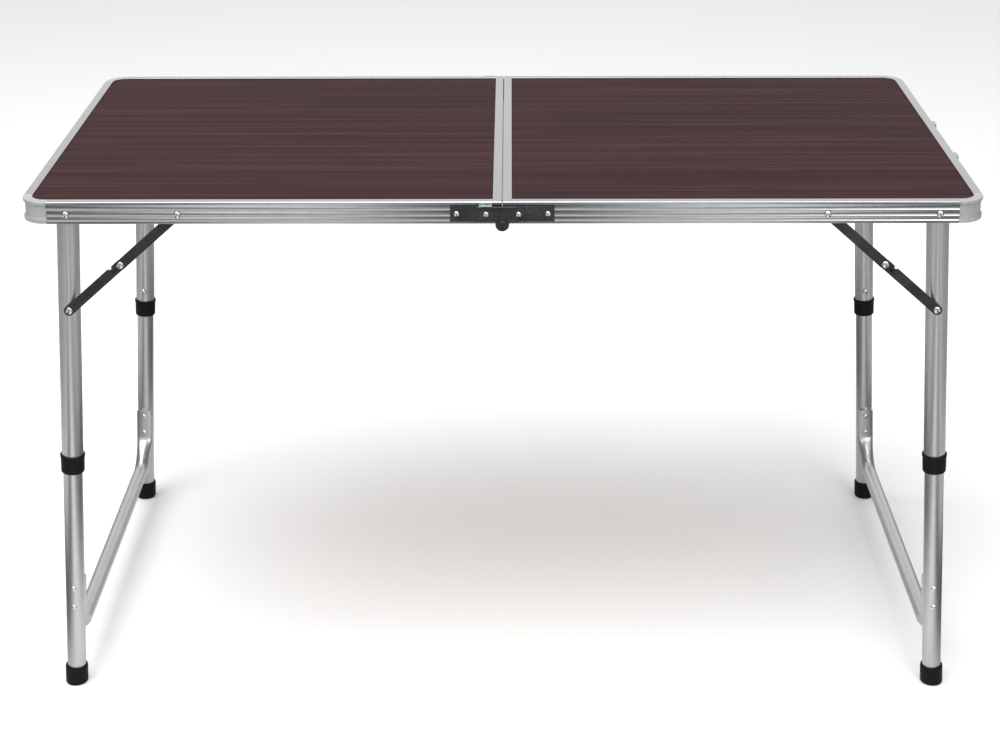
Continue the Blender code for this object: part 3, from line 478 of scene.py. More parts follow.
def stretched_noise_group():
    """Noise stretched along two directions: the place times (Along, Across, Across)."""
    found = bpy.data.node_groups.get("stretched noise")
    if found:
        return found
    floats = "NodeSocketFloat"
    group, start, stop = new_group(
        "stretched noise",
        [("Vector", "NodeSocketVector", None), ("Along", floats, 4.0), ("Across", floats, 900.0),
         ("Low", floats, 0.3), ("High", floats, 0.7)],
        [("Value", floats)])
    scale = add_node(group, "ShaderNodeCombineXYZ", X=start.outputs["Along"], Y=start.outputs["Across"],
                     Z=start.outputs["Across"])
    place = add_node(group, "ShaderNodeVectorMath", {"operation": "MULTIPLY"},
                     i0=start.outputs["Vector"], i1=scale.outputs[0])
    noise = add_node(group, "ShaderNodeTexNoise", Vector=place.outputs[0], Scale=1.0, Detail=4.0,
                     Roughness=0.6)
    fitted = add_node(group, "ShaderNodeMapRange", {"clamp": True}, Value=noise.outputs["Fac"],
                      From_Min=start.outputs["Low"], From_Max=start.outputs["High"])
    group.links.new(fitted.outputs[0], stop.inputs["Value"])
    return group


def handling_group():
    """Soft patches left by hands and wiping: two sizes of noise, multiplied and stretched to 0..1."""
    found = bpy.data.node_groups.get("handling marks")
    if found:
        return found
    floats = "NodeSocketFloat"
    group, start, stop = new_group(
        "handling marks", [("Vector", "NodeSocketVector", None), ("Scale", floats, 12.0)],
        [("Value", floats)])
    where, scale = start.outputs["Vector"], start.outputs["Scale"]
    large = add_node(group, "ShaderNodeTexNoise", Vector=where, Scale=scale, Detail=3.0)
    finer = maths(group, "MULTIPLY", scale, 7.0)
    small = add_node(group, "ShaderNodeTexNoise", Vector=where, Scale=finer, Detail=5.0)
    both = maths(group, "MULTIPLY", large.outputs["Fac"], small.outputs["Fac"])
    fitted = add_node(group, "ShaderNodeMapRange", {"clamp": True}, Value=both, From_Min=0.16,
                      From_Max=0.38)
    group.links.new(fitted.outputs[0], stop.inputs["Value"])
    return group


def placed_group(tree, group, **values):
    return add_node(tree, "ShaderNodeGroup", {"node_tree": group}, **values).outputs[0]


def maths(tree, operation, *values):
    """Result of a Math node over its values in order."""
    made = add_node(tree, "ShaderNodeMath", {"operation": operation})
    for socket, value in zip(made.inputs, values):
        fill(tree, socket, value)
    return made.outputs[0]


def ranged(tree, value, low, high):
    """Value from 0..1 fitted to low..high."""
    return add_node(
        tree, "ShaderNodeMapRange", {"clamp": True}, Value=value, To_Min=low, To_Max=high).outputs[0]


def mixed(tree, factor, first, second):
    """Colour between two colours."""
    made = add_node(tree, "ShaderNodeMix", {"data_type": "RGBA"}, i0=factor)
    for socket, value in ((made.inputs[6], first), (made.inputs[7], second)):
        fill(tree, socket, value if isinstance(value, bpy.types.NodeSocket) else (*value, 1.0))
    return made.outputs[2]


def bumped(tree, height, strength, distance):
    return add_node(
        tree, "ShaderNodeBump", Height=height, Strength=strength, Distance=distance).outputs[0]


def speckles(tree, where, scale):
    """Fine even noise for grain, peel and pits."""
    return add_node(tree, "ShaderNodeTexNoise", Vector=where, Scale=scale, Detail=2.0).outputs["Fac"]


def streaked(tree, where, along, across, low, high):
    return placed_group(tree, stretched_noise_group(), Vector=where, Along=along, Across=across, Low=low,
                        High=high)


def shader_material(name, roughness, metallic):
    """Material with its Principled shader and the coordinates that its patterns read."""
    material = bpy.data.materials.new(name)
    material.use_nodes = True
    tree = material.node_tree
    shader = tree.nodes["Principled BSDF"]
    shader.inputs["Roughness"].default_value = roughness
    shader.inputs["Metallic"].default_value = metallic
    places = tree.nodes.new("ShaderNodeTexCoord")
    return material, tree, shader, places


def dress(tree, shader, colour, roughness, normal):
    """Links the shader's three patterned sockets."""
    for name, value in (("Base Color", colour), ("Roughness", roughness), ("Normal", normal)):
        tree.links.new(value, shader.inputs[name])


def tinted(colour, share):
    return tuple(min(1.0, channel * share) for channel in colour)


def aluminium_finish(name, along, share, rough_low, rough_high):
    """Satin drawn aluminium: fine lines along the metal, soft wiping marks and a faint mottled tone."""
    material, tree, shader, places = shader_material(name, rough_low, 1.0)
    colour = tinted(looks().aluminium[:], share)
    lines = streaked(tree, places.outputs["UV"], along, 2600.0, 0.32, 0.68)
    marks = placed_group(tree, handling_group(), Vector=places.outputs["Object"], Scale=9.0)
    toned = mixed(tree, lines, tinted(colour, 0.97), tinted(colour, 1.03))
    toned = mixed(tree, ranged(tree, marks, 0.0, 0.35), toned, tinted(colour, 0.90))
    spread = add_node(tree, "ShaderNodeMath", {"operation": "MULTIPLY_ADD", "use_clamp": True}, i0=marks,
                      i1=0.05, i2=ranged(tree, lines, rough_low, rough_high))
    dress(tree, shader, toned, spread.outputs[0], bumped(tree, lines, 0.05, 0.00002))
    return material


def wood_finish():
    """Dark satin laminate: fine fibres along the table over broader bands; plain board below."""
    material, tree, shader, places = shader_material("wood_board", 0.42, 0.0)
    where = places.outputs["Object"]
    fibres = streaked(tree, where, 3.5, 420.0, 0.36, 0.66)
    streaks = streaked(tree, where, 1.3, 95.0, 0.40, 0.62)
    bands = streaked(tree, where, 0.8, 22.0, 0.30, 0.72)
    dark, light = looks().wood_dark[:], looks().wood_light[:]
    middle = tuple((a + b) / 2 for a, b in zip(dark, light))
    tone = mixed(tree, ranged(tree, bands, 0.25, 0.75), tinted(middle, 0.82), tinted(middle, 1.15))
    tone = mixed(tree, ranged(tree, streaks, 0.0, 0.75), tone, light)
    tone = mixed(tree, ranged(tree, fibres, 0.85, 0.0), tone, dark)
    normal = tree.nodes.new("ShaderNodeNewGeometry")
    parts = add_node(tree, "ShaderNodeSeparateXYZ", Vector=normal.outputs["Normal"])
    below = maths(tree, "LESS_THAN", parts.outputs["Z"], -0.5)
    flecks = placed_group(tree, handling_group(), Vector=where, Scale=60.0)
    board = mixed(tree, flecks, BOARD_DARK, BOARD_LIGHT)
    shader.inputs["Specular IOR Level"].default_value = 0.02
    tone = mixed(tree, below, tone, board)
    dress(tree, shader, tone, ranged(tree, fibres, 0.42, 0.55), bumped(tree, fibres, 0.25, 0.00005))
    return material


def moulded_finish(name, colour, rough_low, rough_high, grain, shine):
    """Moulded plastic: a fine spark-eroded grain, with a slightly uneven tone and gloss."""
    material, tree, shader, places = shader_material(name, rough_low, 0.0)
    where = places.outputs["Object"]
    marks = placed_group(tree, handling_group(), Vector=where, Scale=30.0)
    grains = speckles(tree, where, grain)
    toned = mixed(tree, marks, tinted(colour, 0.92), tinted(colour, 1.10))
    gloss = ranged(tree, marks, rough_low, rough_high)
    dress(tree, shader, toned, gloss, bumped(tree, grains, 0.20, 0.00008))
    shader.inputs["Specular IOR Level"].default_value = shine
    return material


def coated_finish():
    """Black coating on pressed steel: slight orange peel, and a little scuffing."""
    material, tree, shader, places = shader_material("black_steel", 0.32, 0.0)
    where = places.outputs["Object"]
    peel = speckles(tree, where, 900.0)
    marks = placed_group(tree, handling_group(), Vector=where, Scale=45.0)
    scuffs = streaked(tree, where, 60.0, 500.0, 0.60, 0.78)
    colour = looks().steel_black[:]
    tone = mixed(tree, marks, colour, tinted(colour, 1.6))
    tone = mixed(tree, ranged(tree, scuffs, 0.0, 0.20), tone, tinted(colour, 3.0))
    dress(tree, shader, tone, ranged(tree, marks, 0.26, 0.40), bumped(tree, peel, 0.15, 0.00006))
    shader.inputs["Specular IOR Level"].default_value = 0.30
    shader.inputs["Coat Weight"].default_value = 0.08
    shader.inputs["Coat Roughness"].default_value = 0.18
    return material


def plated_finish(name, colour, rough_low, rough_high):
    """Plated metal with faint patches of tone and gloss."""
    material, tree, shader, places = shader_material(name, rough_low, 1.0)
    where = places.outputs["Object"]
    marks = placed_group(tree, handling_group(), Vector=where, Scale=140.0)
    pits = speckles(tree, where, 2500.0)
    toned = mixed(tree, marks, tinted(colour, 0.86), tinted(colour, 1.08))
    dress(tree, shader, toned, ranged(tree, marks, rough_low, rough_high), bumped(tree, pits, 0.08, 0.00003))
    return material


MATERIAL_MAKERS = {
    "frame_aluminium": lambda: aluminium_finish("frame_aluminium", 7.0, 0.74, 0.13, 0.19),
    "tube_aluminium": lambda: aluminium_finish("tube_aluminium", 5.0, 0.90, 0.27, 0.35),
    "wood_board": wood_finish,
    "grey_plastic": lambda: moulded_finish("grey_plastic", looks().cap_grey[:], 0.30, 0.42, 1400.0, 0.40),
    "black_plastic": lambda: moulded_finish("black_plastic", looks().black[:], 0.42, 0.58, 1800.0, 0.10),
    "black_steel": coated_finish,
    "bright_steel": lambda: plated_finish("bright_steel", looks().nickel[:], 0.10, 0.22),
    "zinc_steel": lambda: plated_finish("zinc_steel", looks().zinc[:], 0.22, 0.36),
}


def finish_of(slot):
    """The material of a slot, made once."""
    found = bpy.data.materials.get("look_" + slot)
    if not found:
        found = MATERIAL_MAKERS[slot]()
        found.name = "look_" + slot
    return found


# ---- tabletop


def fluted_face():
    """Outer face of a rail, (u, -drop): between beads it dips inwards by depth sin(pi t)^0.7."""
    drop = np.linspace(RAIL_EDGE * SUPPORT, FRAME_HEIGHT - 2 * EDGE, 90)
    u = np.zeros_like(drop)
    for start, stop in FLUTES:
        t = np.clip((drop - start) / (stop - start), 0.0, 1.0)
        u += FLUTE_DEPTH * np.sin(pi * t) ** 0.7
    return np.stack([u, -drop], axis=-1)


def channel_corners(wall, bottom):
    """Inner corners of a rail or cap, from foot past ledge to lip, with their roundings."""
    ledge_bottom = -LEDGE_DROP - LEDGE_THICKNESS
    corners = [
        (0.0, bottom), (wall, bottom), (wall, ledge_bottom), (LEDGE_WIDTH, ledge_bottom),
        (LEDGE_WIDTH, -LEDGE_DROP), (wall, -LEDGE_DROP), (wall, -LIP_THICKNESS),
        (LIP_WIDTH, -LIP_THICKNESS), (LIP_WIDTH, 0.0), (0.0, 0.0)]
    radii = [EDGE] * 3 + [EDGE / 2] * 4 + [EDGE / 3, EDGE * 0.9, RAIL_EDGE]
    return corners, radii


def rail_section():
    """Closed section of a rail, (u, -drop): the fluted face, then the rounded channel behind it."""
    corners, radii = channel_corners(RAIL_WALL, -FRAME_HEIGHT)
    return np.concatenate([fluted_face(), rounded(corners, radii)])


def rail(start, stop, start_mitre=0, stop_mitre=0):
    """Section carried straight from start to stop; a mitre of 1 cuts that end at 45 degrees in u."""
    u, drop = rail_section().T
    stations = np.stack([start + start_mitre * u, stop - stop_mitre * u])
    u, drop = np.broadcast_to(u, stations.shape), np.broadcast_to(drop, stations.shape)
    return carried(np.stack([u, stations, drop], axis=-1))


def laid(shell, columns, place):
    """Grid with its x, y, z taken from other columns, given as (column, sign), then moved to a place."""
    points = np.stack([sign * shell["points"][..., column] for column, sign in columns], axis=-1)
    return {**shell, "points": points + np.array(place)}


def side_rail():
    shell = rail(FOLD_GAP / 2, HALF_LENGTH - CAP_REACH, start_mitre=1)
    return laid(shell, ((1, 1), (0, -1), (2, 1)), (0.0, HALF_DEPTH, TABLE_HEIGHT))


def end_rail():
    reach = HALF_DEPTH - CAP_REACH
    return laid(rail(-reach, reach), ((0, -1), (1, 1), (2, 1)), (HALF_LENGTH, 0.0, TABLE_HEIGHT))


def centre_rail():
    reach = HALF_DEPTH - FOLD_GAP / 2
    shell = rail(-reach, reach, start_mitre=1, stop_mitre=1)
    return laid(shell, ((0, 1), (1, 1), (2, 1)), (FOLD_GAP / 2, 0.0, TABLE_HEIGHT))


def cap_section():
    """Closed section of a corner cap: proud rounded bands above and below a smooth recess."""
    wall = CAP_RECESS + CAP_WALL
    low = -FRAME_HEIGHT + CAP_BOTTOM_BAND
    corners, radii = channel_corners(wall, -FRAME_HEIGHT)
    face = [(0.0, -CAP_TOP_BAND), (CAP_RECESS, -CAP_TOP_BAND - CAP_RECESS / 2),
            (CAP_RECESS, low + CAP_RECESS / 2), (0.0, low)]
    return rounded(corners[1:] + face + corners[:1], radii[1:] + [RAIL_EDGE] * 5)


def corner_cap(steps=28):
    """Section carried round the corner: along u from an arc of its radius, with straight ends."""
    u, drop = cap_section().T
    run = CAP_REACH - GAP - CORNER_RADIUS
    angle = np.concatenate([[0.0], np.linspace(0.0, pi / 2, steps), [pi / 2]])[:, None]
    before = np.concatenate([[-run], np.zeros(steps + 1)])[:, None]
    after = np.concatenate([np.zeros(steps + 1), [-run]])[:, None]
    x = HALF_LENGTH - CORNER_RADIUS + (CORNER_RADIUS - u) * np.sin(angle) + before
    y = HALF_DEPTH - CORNER_RADIUS + (CORNER_RADIUS - u) * np.cos(angle) + after
    return carried(np.stack([x, y, np.broadcast_to(TABLE_HEIGHT + drop, x.shape)], axis=-1))


# ---- legs


def tube(radius, wall, top, bottom):
    """Open tube about the leg's axis with rounded cut edges; top and bottom are reaches."""
    corners = [(radius, -top), (radius, -bottom), (radius - wall, -bottom), (radius - wall, -top)]
    shell = turned(rounded(corners, [EDGE] * 4), looks().tube_sides, ring=True)
    return shifted(shell, (LEG_OFFSET, 0.0, 0.0))


def upper_tube():
    """Upper tube with its inner top edge cut back to z = top (x + c) / (c - s), clear of the board."""
    shell = tube(UPPER_RADIUS, UPPER_WALL, -TUBE_TOP, UPPER_LENGTH)
    clear = BOARD_BELOW - PIVOT_Z - GAP
    start = sqrt(clear ** 2 - TUBE_TOP ** 2)
    x, z = shell["points"][..., 0], shell["points"][..., 2]
    limit = TUBE_TOP * (x + clear) / (clear - start)
    cut = (z > 0) & (x < -start)
    shell["points"][..., 2] = np.where(cut, np.minimum(z, limit), z)
    return shell


def collar():
    """Cup round the upper tube's end: flared rim, slightly tapered skirt, inner lip below the tube."""
    inner = UPPER_RADIUS + GAP
    outer = inner + COLLAR_WALL
    bottom = UPPER_LENGTH + COLLAR_LIP + GAP
    top = bottom - COLLAR_HEIGHT
    corners = [
        (outer + COLLAR_FLARE, -top), (outer + COLLAR_FLARE, -top - COLLAR_LIP),
        (outer, -top - COLLAR_SHOULDER * COLLAR_LIP),
        (outer - COLLAR_WALL / 4, -bottom + COLLAR_WALL), (outer - COLLAR_WALL, -bottom),
        (LOWER_RADIUS + GAP, -bottom), (LOWER_RADIUS + GAP, -UPPER_LENGTH - GAP),
        (inner, -UPPER_LENGTH - GAP), (inner, -top)]
    radii = [0.0008, 0.0009, 0.0012, 0.0008, 0.0005, EDGE, EDGE, EDGE, EDGE]
    shell = turned(rounded(corners, radii), looks().tube_sides, ring=True)
    return shifted(shell, (LEG_OFFSET, 0.0, 0.0))


def floor_height(x):
    """Height of the floor along the leg at a place x across it: -(pivot height + x sin s) / cos s."""
    return -(PIVOT_Z + x * sin(SPLAY)) / cos(SPLAY)


def foot():
    """Cup whose upper rows keep their height on the leg and whose lower rows stand on the floor's plane."""
    inner = LOWER_RADIUS + GAP
    outer = inner + FOOT_WALL
    reach = -floor_height(LEG_OFFSET)
    seat = -(reach - FOOT_SOLE)
    top = -(reach - FOOT_HEIGHT)
    corners = [
        (0.0, seat), (inner, seat), (inner, top), (outer - FOOT_WALL / 4, top), (outer, top - FOOT_CHAMFER),
        (outer, -reach + FOOT_CHAMFER), (outer - FOOT_CHAMFER, -reach), (0.0, -reach)]
    radii = [0.0, EDGE, EDGE, 0.0008, 0.0012, 0.0010, 0.0010, 0.0]
    shell = turned(rounded(corners, radii, closed=False), looks().tube_sides)
    shell = shifted(shell, (LEG_OFFSET, 0.0, 0.0))
    points = shell["points"]
    share = np.clip((-reach + 3 * FOOT_CHAMFER - points[..., 2]) / FOOT_CHAMFER, 0.0, 1.0)
    points[..., 2] += share * (floor_height(points[..., 0]) + reach)
    return shell


def facing_in(shell):
    """Lathed shell laid along -Y, towards the table's middle."""
    shell = along_y(shell)
    return {**shell, "points": shell["points"] * np.array((-1.0, -1.0, 1.0))}


def snap_button():
    """Domed button with a flange inside the lower tube, facing the table's middle."""
    seat = sqrt((LOWER_RADIUS - LOWER_WALL) ** 2 - BUTTON_FLANGE ** 2) - GAP
    shell = rivet([
        (BUTTON_RADIUS, UPPER_RADIUS, UPPER_RADIUS + BUTTON_PROUD, True),
        (BUTTON_RADIUS, seat, UPPER_RADIUS, False),
        (BUTTON_FLANGE, seat - BUTTON_FLANGE_THICKNESS, seat, False)])
    return shifted(facing_in(shell), (LEG_OFFSET, LEG_Y, -BUTTON_REACH))


def leg_pin():
    """Leg pivot: domed head outside the rail, shank and spacer behind it, and a riveted tail in the tube."""
    face = LEG_Y + UPPER_RADIUS
    tail = LEG_Y + sqrt((UPPER_RADIUS - UPPER_WALL) ** 2 - (HEAD_RADIUS + LEG_OFFSET) ** 2) - GAP
    head = HALF_DEPTH + GAP
    back = HALF_DEPTH - RAIL_WALL - GAP
    shell = rivet([
        (HEAD_RADIUS, head, head + HEAD_HEIGHT, True),
        (SHANK_RADIUS, back, head, False),
        (SPACER_RADIUS, face + GAP, back, False),
        (SHANK_RADIUS, tail, face + GAP, False),
        (HEAD_RADIUS, tail - THIN_HEAD, tail, False)])
    return along_y(shell, (PIVOT_X, 0.0, PIVOT_Z))


def bar_reach(height):
    """Reach down the leg of a height above the floor."""
    return -floor_height(LEG_OFFSET) - height / cos(SPLAY)


def bar_stations():
    """Places (y, z) and outward normals along half of the U: down one arm and round a bend."""
    arm = LEG_Y - LOWER_RADIUS - GAP - BAR_RADIUS
    low, high = -bar_reach(BAR_HEIGHT), -bar_reach(BAR_END_HEIGHT)
    t = 1.0 - np.cos(np.linspace(0.0, pi / 2, 40))
    down = np.stack([np.full(40, arm), high - (high - low - BAR_BEND) * t], axis=-1)
    angle = np.linspace(0.0, -pi / 2, 20)
    out = np.stack([np.cos(angle), np.sin(angle)], axis=-1)
    bend = np.array((arm - BAR_BEND, low + BAR_BEND)) + BAR_BEND * out
    return np.concatenate([down, bend[1:]]), np.concatenate([np.tile((1.0, 0.0), (40, 1)), out[1:]])


def round_bar(half, facing, radius, sides):
    """Places x, y, z of circles r (sin a, cos a) round a bar's middle line: a half and its mirror."""
    mirror = np.array((-1.0, 1.0))
    centre = np.concatenate([half, half[::-1] * mirror])
    facing = np.concatenate([facing, facing[::-1] * mirror])
    angle = np.linspace(0.0, 2 * pi, sides, endpoint=False)
    x = np.broadcast_to(radius * np.sin(angle), (len(centre), sides)).copy()
    y = centre[:, :1] + radius * np.cos(angle) * facing[:, :1]
    z = centre[:, 1:] + radius * np.cos(angle) * facing[:, 1:]
    return x, y, z


def crossbar(sides=40):
    """Round bar along the U, with each end pressed flat, wrapped round its leg and cut square.

    The pressing scales the depth from the leg's face and spreads the width. Points inside the leg's
    clearance circle move out to it. Near the tip the corners are rounded: the width is limited to
    w - r + r sqrt(1 - (1 - d/r)^2) at a distance d from the tip.
    """
    x, y, z = round_bar(*bar_stations(), BAR_RADIUS, sides)
    face = LEG_Y - LOWER_RADIUS - GAP
    depth = -bar_reach(BAR_END_HEIGHT) - z
    blend = np.clip((BAR_FLAT_LENGTH - depth) / BAR_BLEND_LENGTH, 0.0, 1.0)
    blend = blend * blend * (3 - 2 * blend)
    end = np.sign(y)
    inset = face - end * y
    inset = inset + blend * (inset * BAR_FLAT - BAR_BITE - inset)
    x *= 1 + blend * (BAR_SPREAD - 1)
    tip = np.clip(depth / BAR_CORNER, 0.0, 1.0)
    limit = BAR_RADIUS * BAR_SPREAD - BAR_CORNER * (1.0 - np.sqrt(1.0 - (1.0 - tip) ** 2))
    x = np.clip(x, -limit, limit)
    y = end * (face - inset)
    reach = np.hypot(x, LEG_Y - np.abs(y))
    clear = LOWER_RADIUS + GAP
    outward = np.where(reach < clear, clear / np.maximum(reach, clear / 2), 1.0)
    x *= outward
    y = np.where(reach < clear, end * (LEG_Y - (LEG_Y - np.abs(y)) * outward), y)
    return carried(np.stack([x + LEG_OFFSET, y, z], axis=-1))


def bar_rivets():
    """Domed heads on both sides of each crossbar end, as a list of shells for the rear leg."""
    top = bar_reach(BAR_END_HEIGHT)
    inner = LEG_Y - LOWER_RADIUS - GAP + BAR_BITE - 2 * BAR_RADIUS * BAR_FLAT
    radius = HEAD_RADIUS - GAP
    shells = []
    for drop in BAR_RIVETS:
        outer_head = rivet([(radius, LOWER_RADIUS - LOWER_WALL, LOWER_RADIUS + HEAD_HEIGHT, True)])
        inner_head = facing_in(rivet([(radius, -HEAD_HEIGHT / 2, HEAD_HEIGHT, True)]))
        shells.append(along_y(outer_head, (LEG_OFFSET, LEG_Y, -top - drop)))
        shells.append(shifted(inner_head, (LEG_OFFSET, inner, -top - drop)))
    return shells


# ---- stays


def stay_lengths():
    """Lengths of the upper and lower link and their slope, from the rest places of their pivots."""
    span = hypot(ANCHOR_X - STAY_X, ANCHOR_Z - PIVOT_Z)
    slope = atan2(PIVOT_Z - ANCHOR_Z, ANCHOR_X - STAY_X)
    pin_reach = hypot(ANCHOR_X - PIVOT_X, ANCHOR_Z - PIVOT_Z)
    folded = PIVOT_X - STAY_X - pin_reach
    return (span + folded) / 2, (span - folded) / 2, slope


def link_edge(length):
    """Middle places and directions round a strip with round ends, even along its straight sides."""
    bend = np.linspace(-pi / 2, pi / 2, LINK_BEND_STEPS)
    run = np.linspace(0.0, 1.0, LINK_RUN_STEPS)[1:-1]
    flat = np.ones_like(run)
    places = np.concatenate([np.full_like(bend, length), length * (1 - run), 0 * bend, length * run])
    turns = np.concatenate([bend, flat * pi / 2, bend + pi, flat * 1.5 * pi])
    return places, turns


def link(length, notch=None, dimple=None):
    """Pressed strip between two pivots, in (x, height, across), with a raised border on its outer face.

    Rows walk from the middle of the outer face over the edge to the middle of the back. An inset d
    puts a point at middle + (w - d)(cos a, sin a). A notch keeps points below
    w - sqrt((r + d)^2 - (x - xn)^2). A dimple lowers the outer face by depth exp(-(distance / r)^2).
    """
    places, turns = link_edge(length)
    half = STAY_WIDTH / 2
    inner = np.linspace(half, STAY_RIM + STAY_RECESS, 8)
    front = STAY_THICKNESS / 2
    face = np.stack([inner, np.full(8, front - STAY_RECESS)], axis=-1)
    corners = [
        (STAY_RIM, front - STAY_RECESS), (STAY_RIM, front), (0.0, front), (0.0, -front), (half, -front)]
    border = rounded(corners, [RIM_EDGE, RIM_EDGE, EDGE, EDGE, 0.0], closed=False)
    inset, height = np.concatenate([face, border]).T
    x = places[None, :] + (half - inset)[:, None] * np.cos(turns)[None, :]
    y = (half - inset)[:, None] * np.sin(turns)[None, :]
    h = np.broadcast_to(height[:, None], x.shape).copy()
    if notch is not None:
        room = (NOTCH_RADIUS + inset[:, None]) ** 2 - (x - notch) ** 2
        limit = half - np.sqrt(np.maximum(room, 0.0))
        y = np.where((room > 0) & (y > 0), np.minimum(y, limit), y)
    if dimple is not None:
        lowered = DIMPLE_DEPTH * np.exp(-((x - dimple) ** 2 + y ** 2) / DIMPLE_RADIUS ** 2)
        h -= np.where(h > 0, lowered, 0.0)
    points = np.stack([x, h, y], axis=-1)
    return {"points": points, "wrap_rows": False, "wrap_columns": True, "capped": False}


def stay_rivet(middle, tail):
    """Head sunk in the border of the stay at this Y, on a shank back to the tail."""
    outer = middle + STAY_THICKNESS / 2
    return rivet([(HEAD_RADIUS, outer - STAY_RECESS, outer + THIN_HEAD, True),
                  (SHANK_RADIUS, tail, outer - STAY_RECESS, False)])


def stay_planes():
    """Y of the middles of the upper and the lower link."""
    lower = LEG_Y + UPPER_RADIUS + GAP + STAY_THICKNESS / 2
    return lower + STAY_THICKNESS + THIN_HEAD + GAP, lower


# ---- hinge and handle


def screw_head():
    """Hinge screw: dome R sin a, h cos a with a soft-edged cross cut in it, on its shank."""
    sides, rings = 128, 48
    radius = np.linspace(0.0, SCREW_HEAD, rings)
    angle = np.linspace(0.0, 2 * pi, sides, endpoint=False)
    x, y = np.outer(radius, np.cos(angle)), np.outer(radius, np.sin(angle))
    dome = HEAD_HEIGHT * np.sqrt(np.maximum(0.0, 1 - (radius / SCREW_HEAD) ** 2))
    height = dome[:, None] * np.ones(sides)
    across, along = np.minimum(np.abs(x), np.abs(y)), np.maximum(np.abs(x), np.abs(y))
    inside = np.minimum(CROSS_WIDTH - across, CROSS_LENGTH - along) / CUT_SOFTNESS
    share = np.clip(inside * 0.5 + 0.5, 0.0, 1.0)
    height -= CROSS_DEPTH * share * share * (3 - 2 * share)
    crown = np.stack([x, y, height], axis=-1)
    front = LEAF_FACE - HEAD_HEIGHT
    back = HALF_DEPTH + 2 * GAP
    depth = back - front
    shank = turned([(SCREW_HEAD, 0.0), (SHANK_RADIUS, 0.0), (SHANK_RADIUS, depth), (0.0, depth)], sides)
    shell = {**shank, "points": np.concatenate([crown, shank["points"][1:]])}
    return along_y(shell, (0.0, front, FOLD_Z))


def leaf_heads(side):
    """Domed heads on one leaf's rivets; the stud's head and the raised rivet's stand further out."""
    flat = HALF_DEPTH + GAP + LEAF_THICKNESS
    raised = flat + GAP + LEAF_THICKNESS
    far, near = LEAF_RIVETS
    faces = ((far, flat), (near, raised + GAP if side > 0 else raised))
    head = (LEAF_RIVET_HEAD, 0.0, HEAD_HEIGHT, True)
    return [along_y(rivet([head]), (side * x, face, TABLE_HEIGHT - LEAF_RIVET_DROP)) for x, face in faces]


def handle(sides=32):
    """Round bar hanging between the brackets: out, round a shoulder, down, round a corner, across."""
    out = HANDLE_SPACING / 2 + BRACKET_WIDTH / 4
    arm = HANDLE_SPACING / 2 - BRACKET_WIDTH / 2 - GAP - HANDLE_BEND
    angle = np.linspace(0.0, pi / 2, 14)
    rise, turn = np.sin(angle)[:, None], np.cos(angle)[:, None]
    above = np.concatenate([-rise, turn], axis=1)
    below = np.concatenate([turn, -rise], axis=1)
    shoulder = np.array((arm + HANDLE_BEND, -HANDLE_BEND)) + HANDLE_BEND * above
    corner = np.array((arm - HANDLE_BEND, HANDLE_BEND - HANDLE_DROP)) + HANDLE_BEND * below
    half = np.concatenate([[(out, 0.0)], shoulder, corner])
    facing = np.concatenate([[(0.0, 1.0)], above, -below])
    points = np.stack(round_bar(half, facing, HANDLE_RADIUS, sides), axis=-1)
    return shifted(carried(points), (HANDLE_X, 0.0, HANDLE_Z))


# ---- operators


class TABLE_OT_stage(bpy.types.Operator):
    """Floor, soft lights, surroundings and camera."""

    bl_idname = "table.stage"
    bl_label = "Stage"

    def execute(self, context):
        add_floor()
        add_surroundings()
        add_soft_light("key_light", *KEY_LIGHT, looks().key_power)
        add_soft_light("fill_light", *FILL_LIGHT, looks().fill_power)
        add_camera(context.scene)
        context.scene.view_settings.view_transform = "Standard"
        return {"FINISHED"}


def distance_from_middle(tree, where):
    """|x| of a place."""
    parts = add_node(tree, "ShaderNodeSeparateXYZ", Vector=where)
    return maths(tree, "ABSOLUTE", parts.outputs["X"])


def add_floor(reach=14.0):
    """Pale floor; what metal reflects of it is striped, as cos(2 pi (|x| - place) / spacing)."""
    mesh = bpy.data.meshes.new("floor")
    corners = [(-reach, -reach, 0), (reach, -reach, 0), (reach, reach, 0), (-reach, reach, 0)]
    mesh.from_pydata(corners, [], [(0, 1, 2, 3)])
    material, tree, shader, places = shader_material("pale_floor", 0.6, 0.0)
    where = places.outputs["Object"]
    cloudy = add_node(tree, "ShaderNodeTexNoise", Vector=where, Scale=1.5).outputs["Fac"]
    per_metre = 2 * pi / STRIPE_SPACING
    turn = maths(tree, "MULTIPLY_ADD", distance_from_middle(tree, where), per_metre,
                 -per_metre * STRIPE_PLACE)
    wave = maths(tree, "COSINE", turn)
    stripes = add_node(tree, "ShaderNodeMapRange", {"clamp": True}, Value=wave, From_Min=-1.0).outputs[0]
    colour = looks().floor[:]
    pale = mixed(tree, cloudy, tinted(colour, 0.99), tinted(colour, 1.01))
    striped = mixed(tree, stripes, tinted(colour, STRIPE_DARK), tinted(colour, STRIPE_LIGHT))
    glossy = tree.nodes.new("ShaderNodeLightPath").outputs["Is Glossy Ray"]
    tree.links.new(mixed(tree, glossy, pale, striped), shader.inputs["Base Color"])
    shader.inputs["Specular IOR Level"].default_value = 0.1
    mesh.materials.append(material)
    floor = bpy.data.objects.new("floor", mesh)
    bpy.context.scene.collection.objects.link(floor)


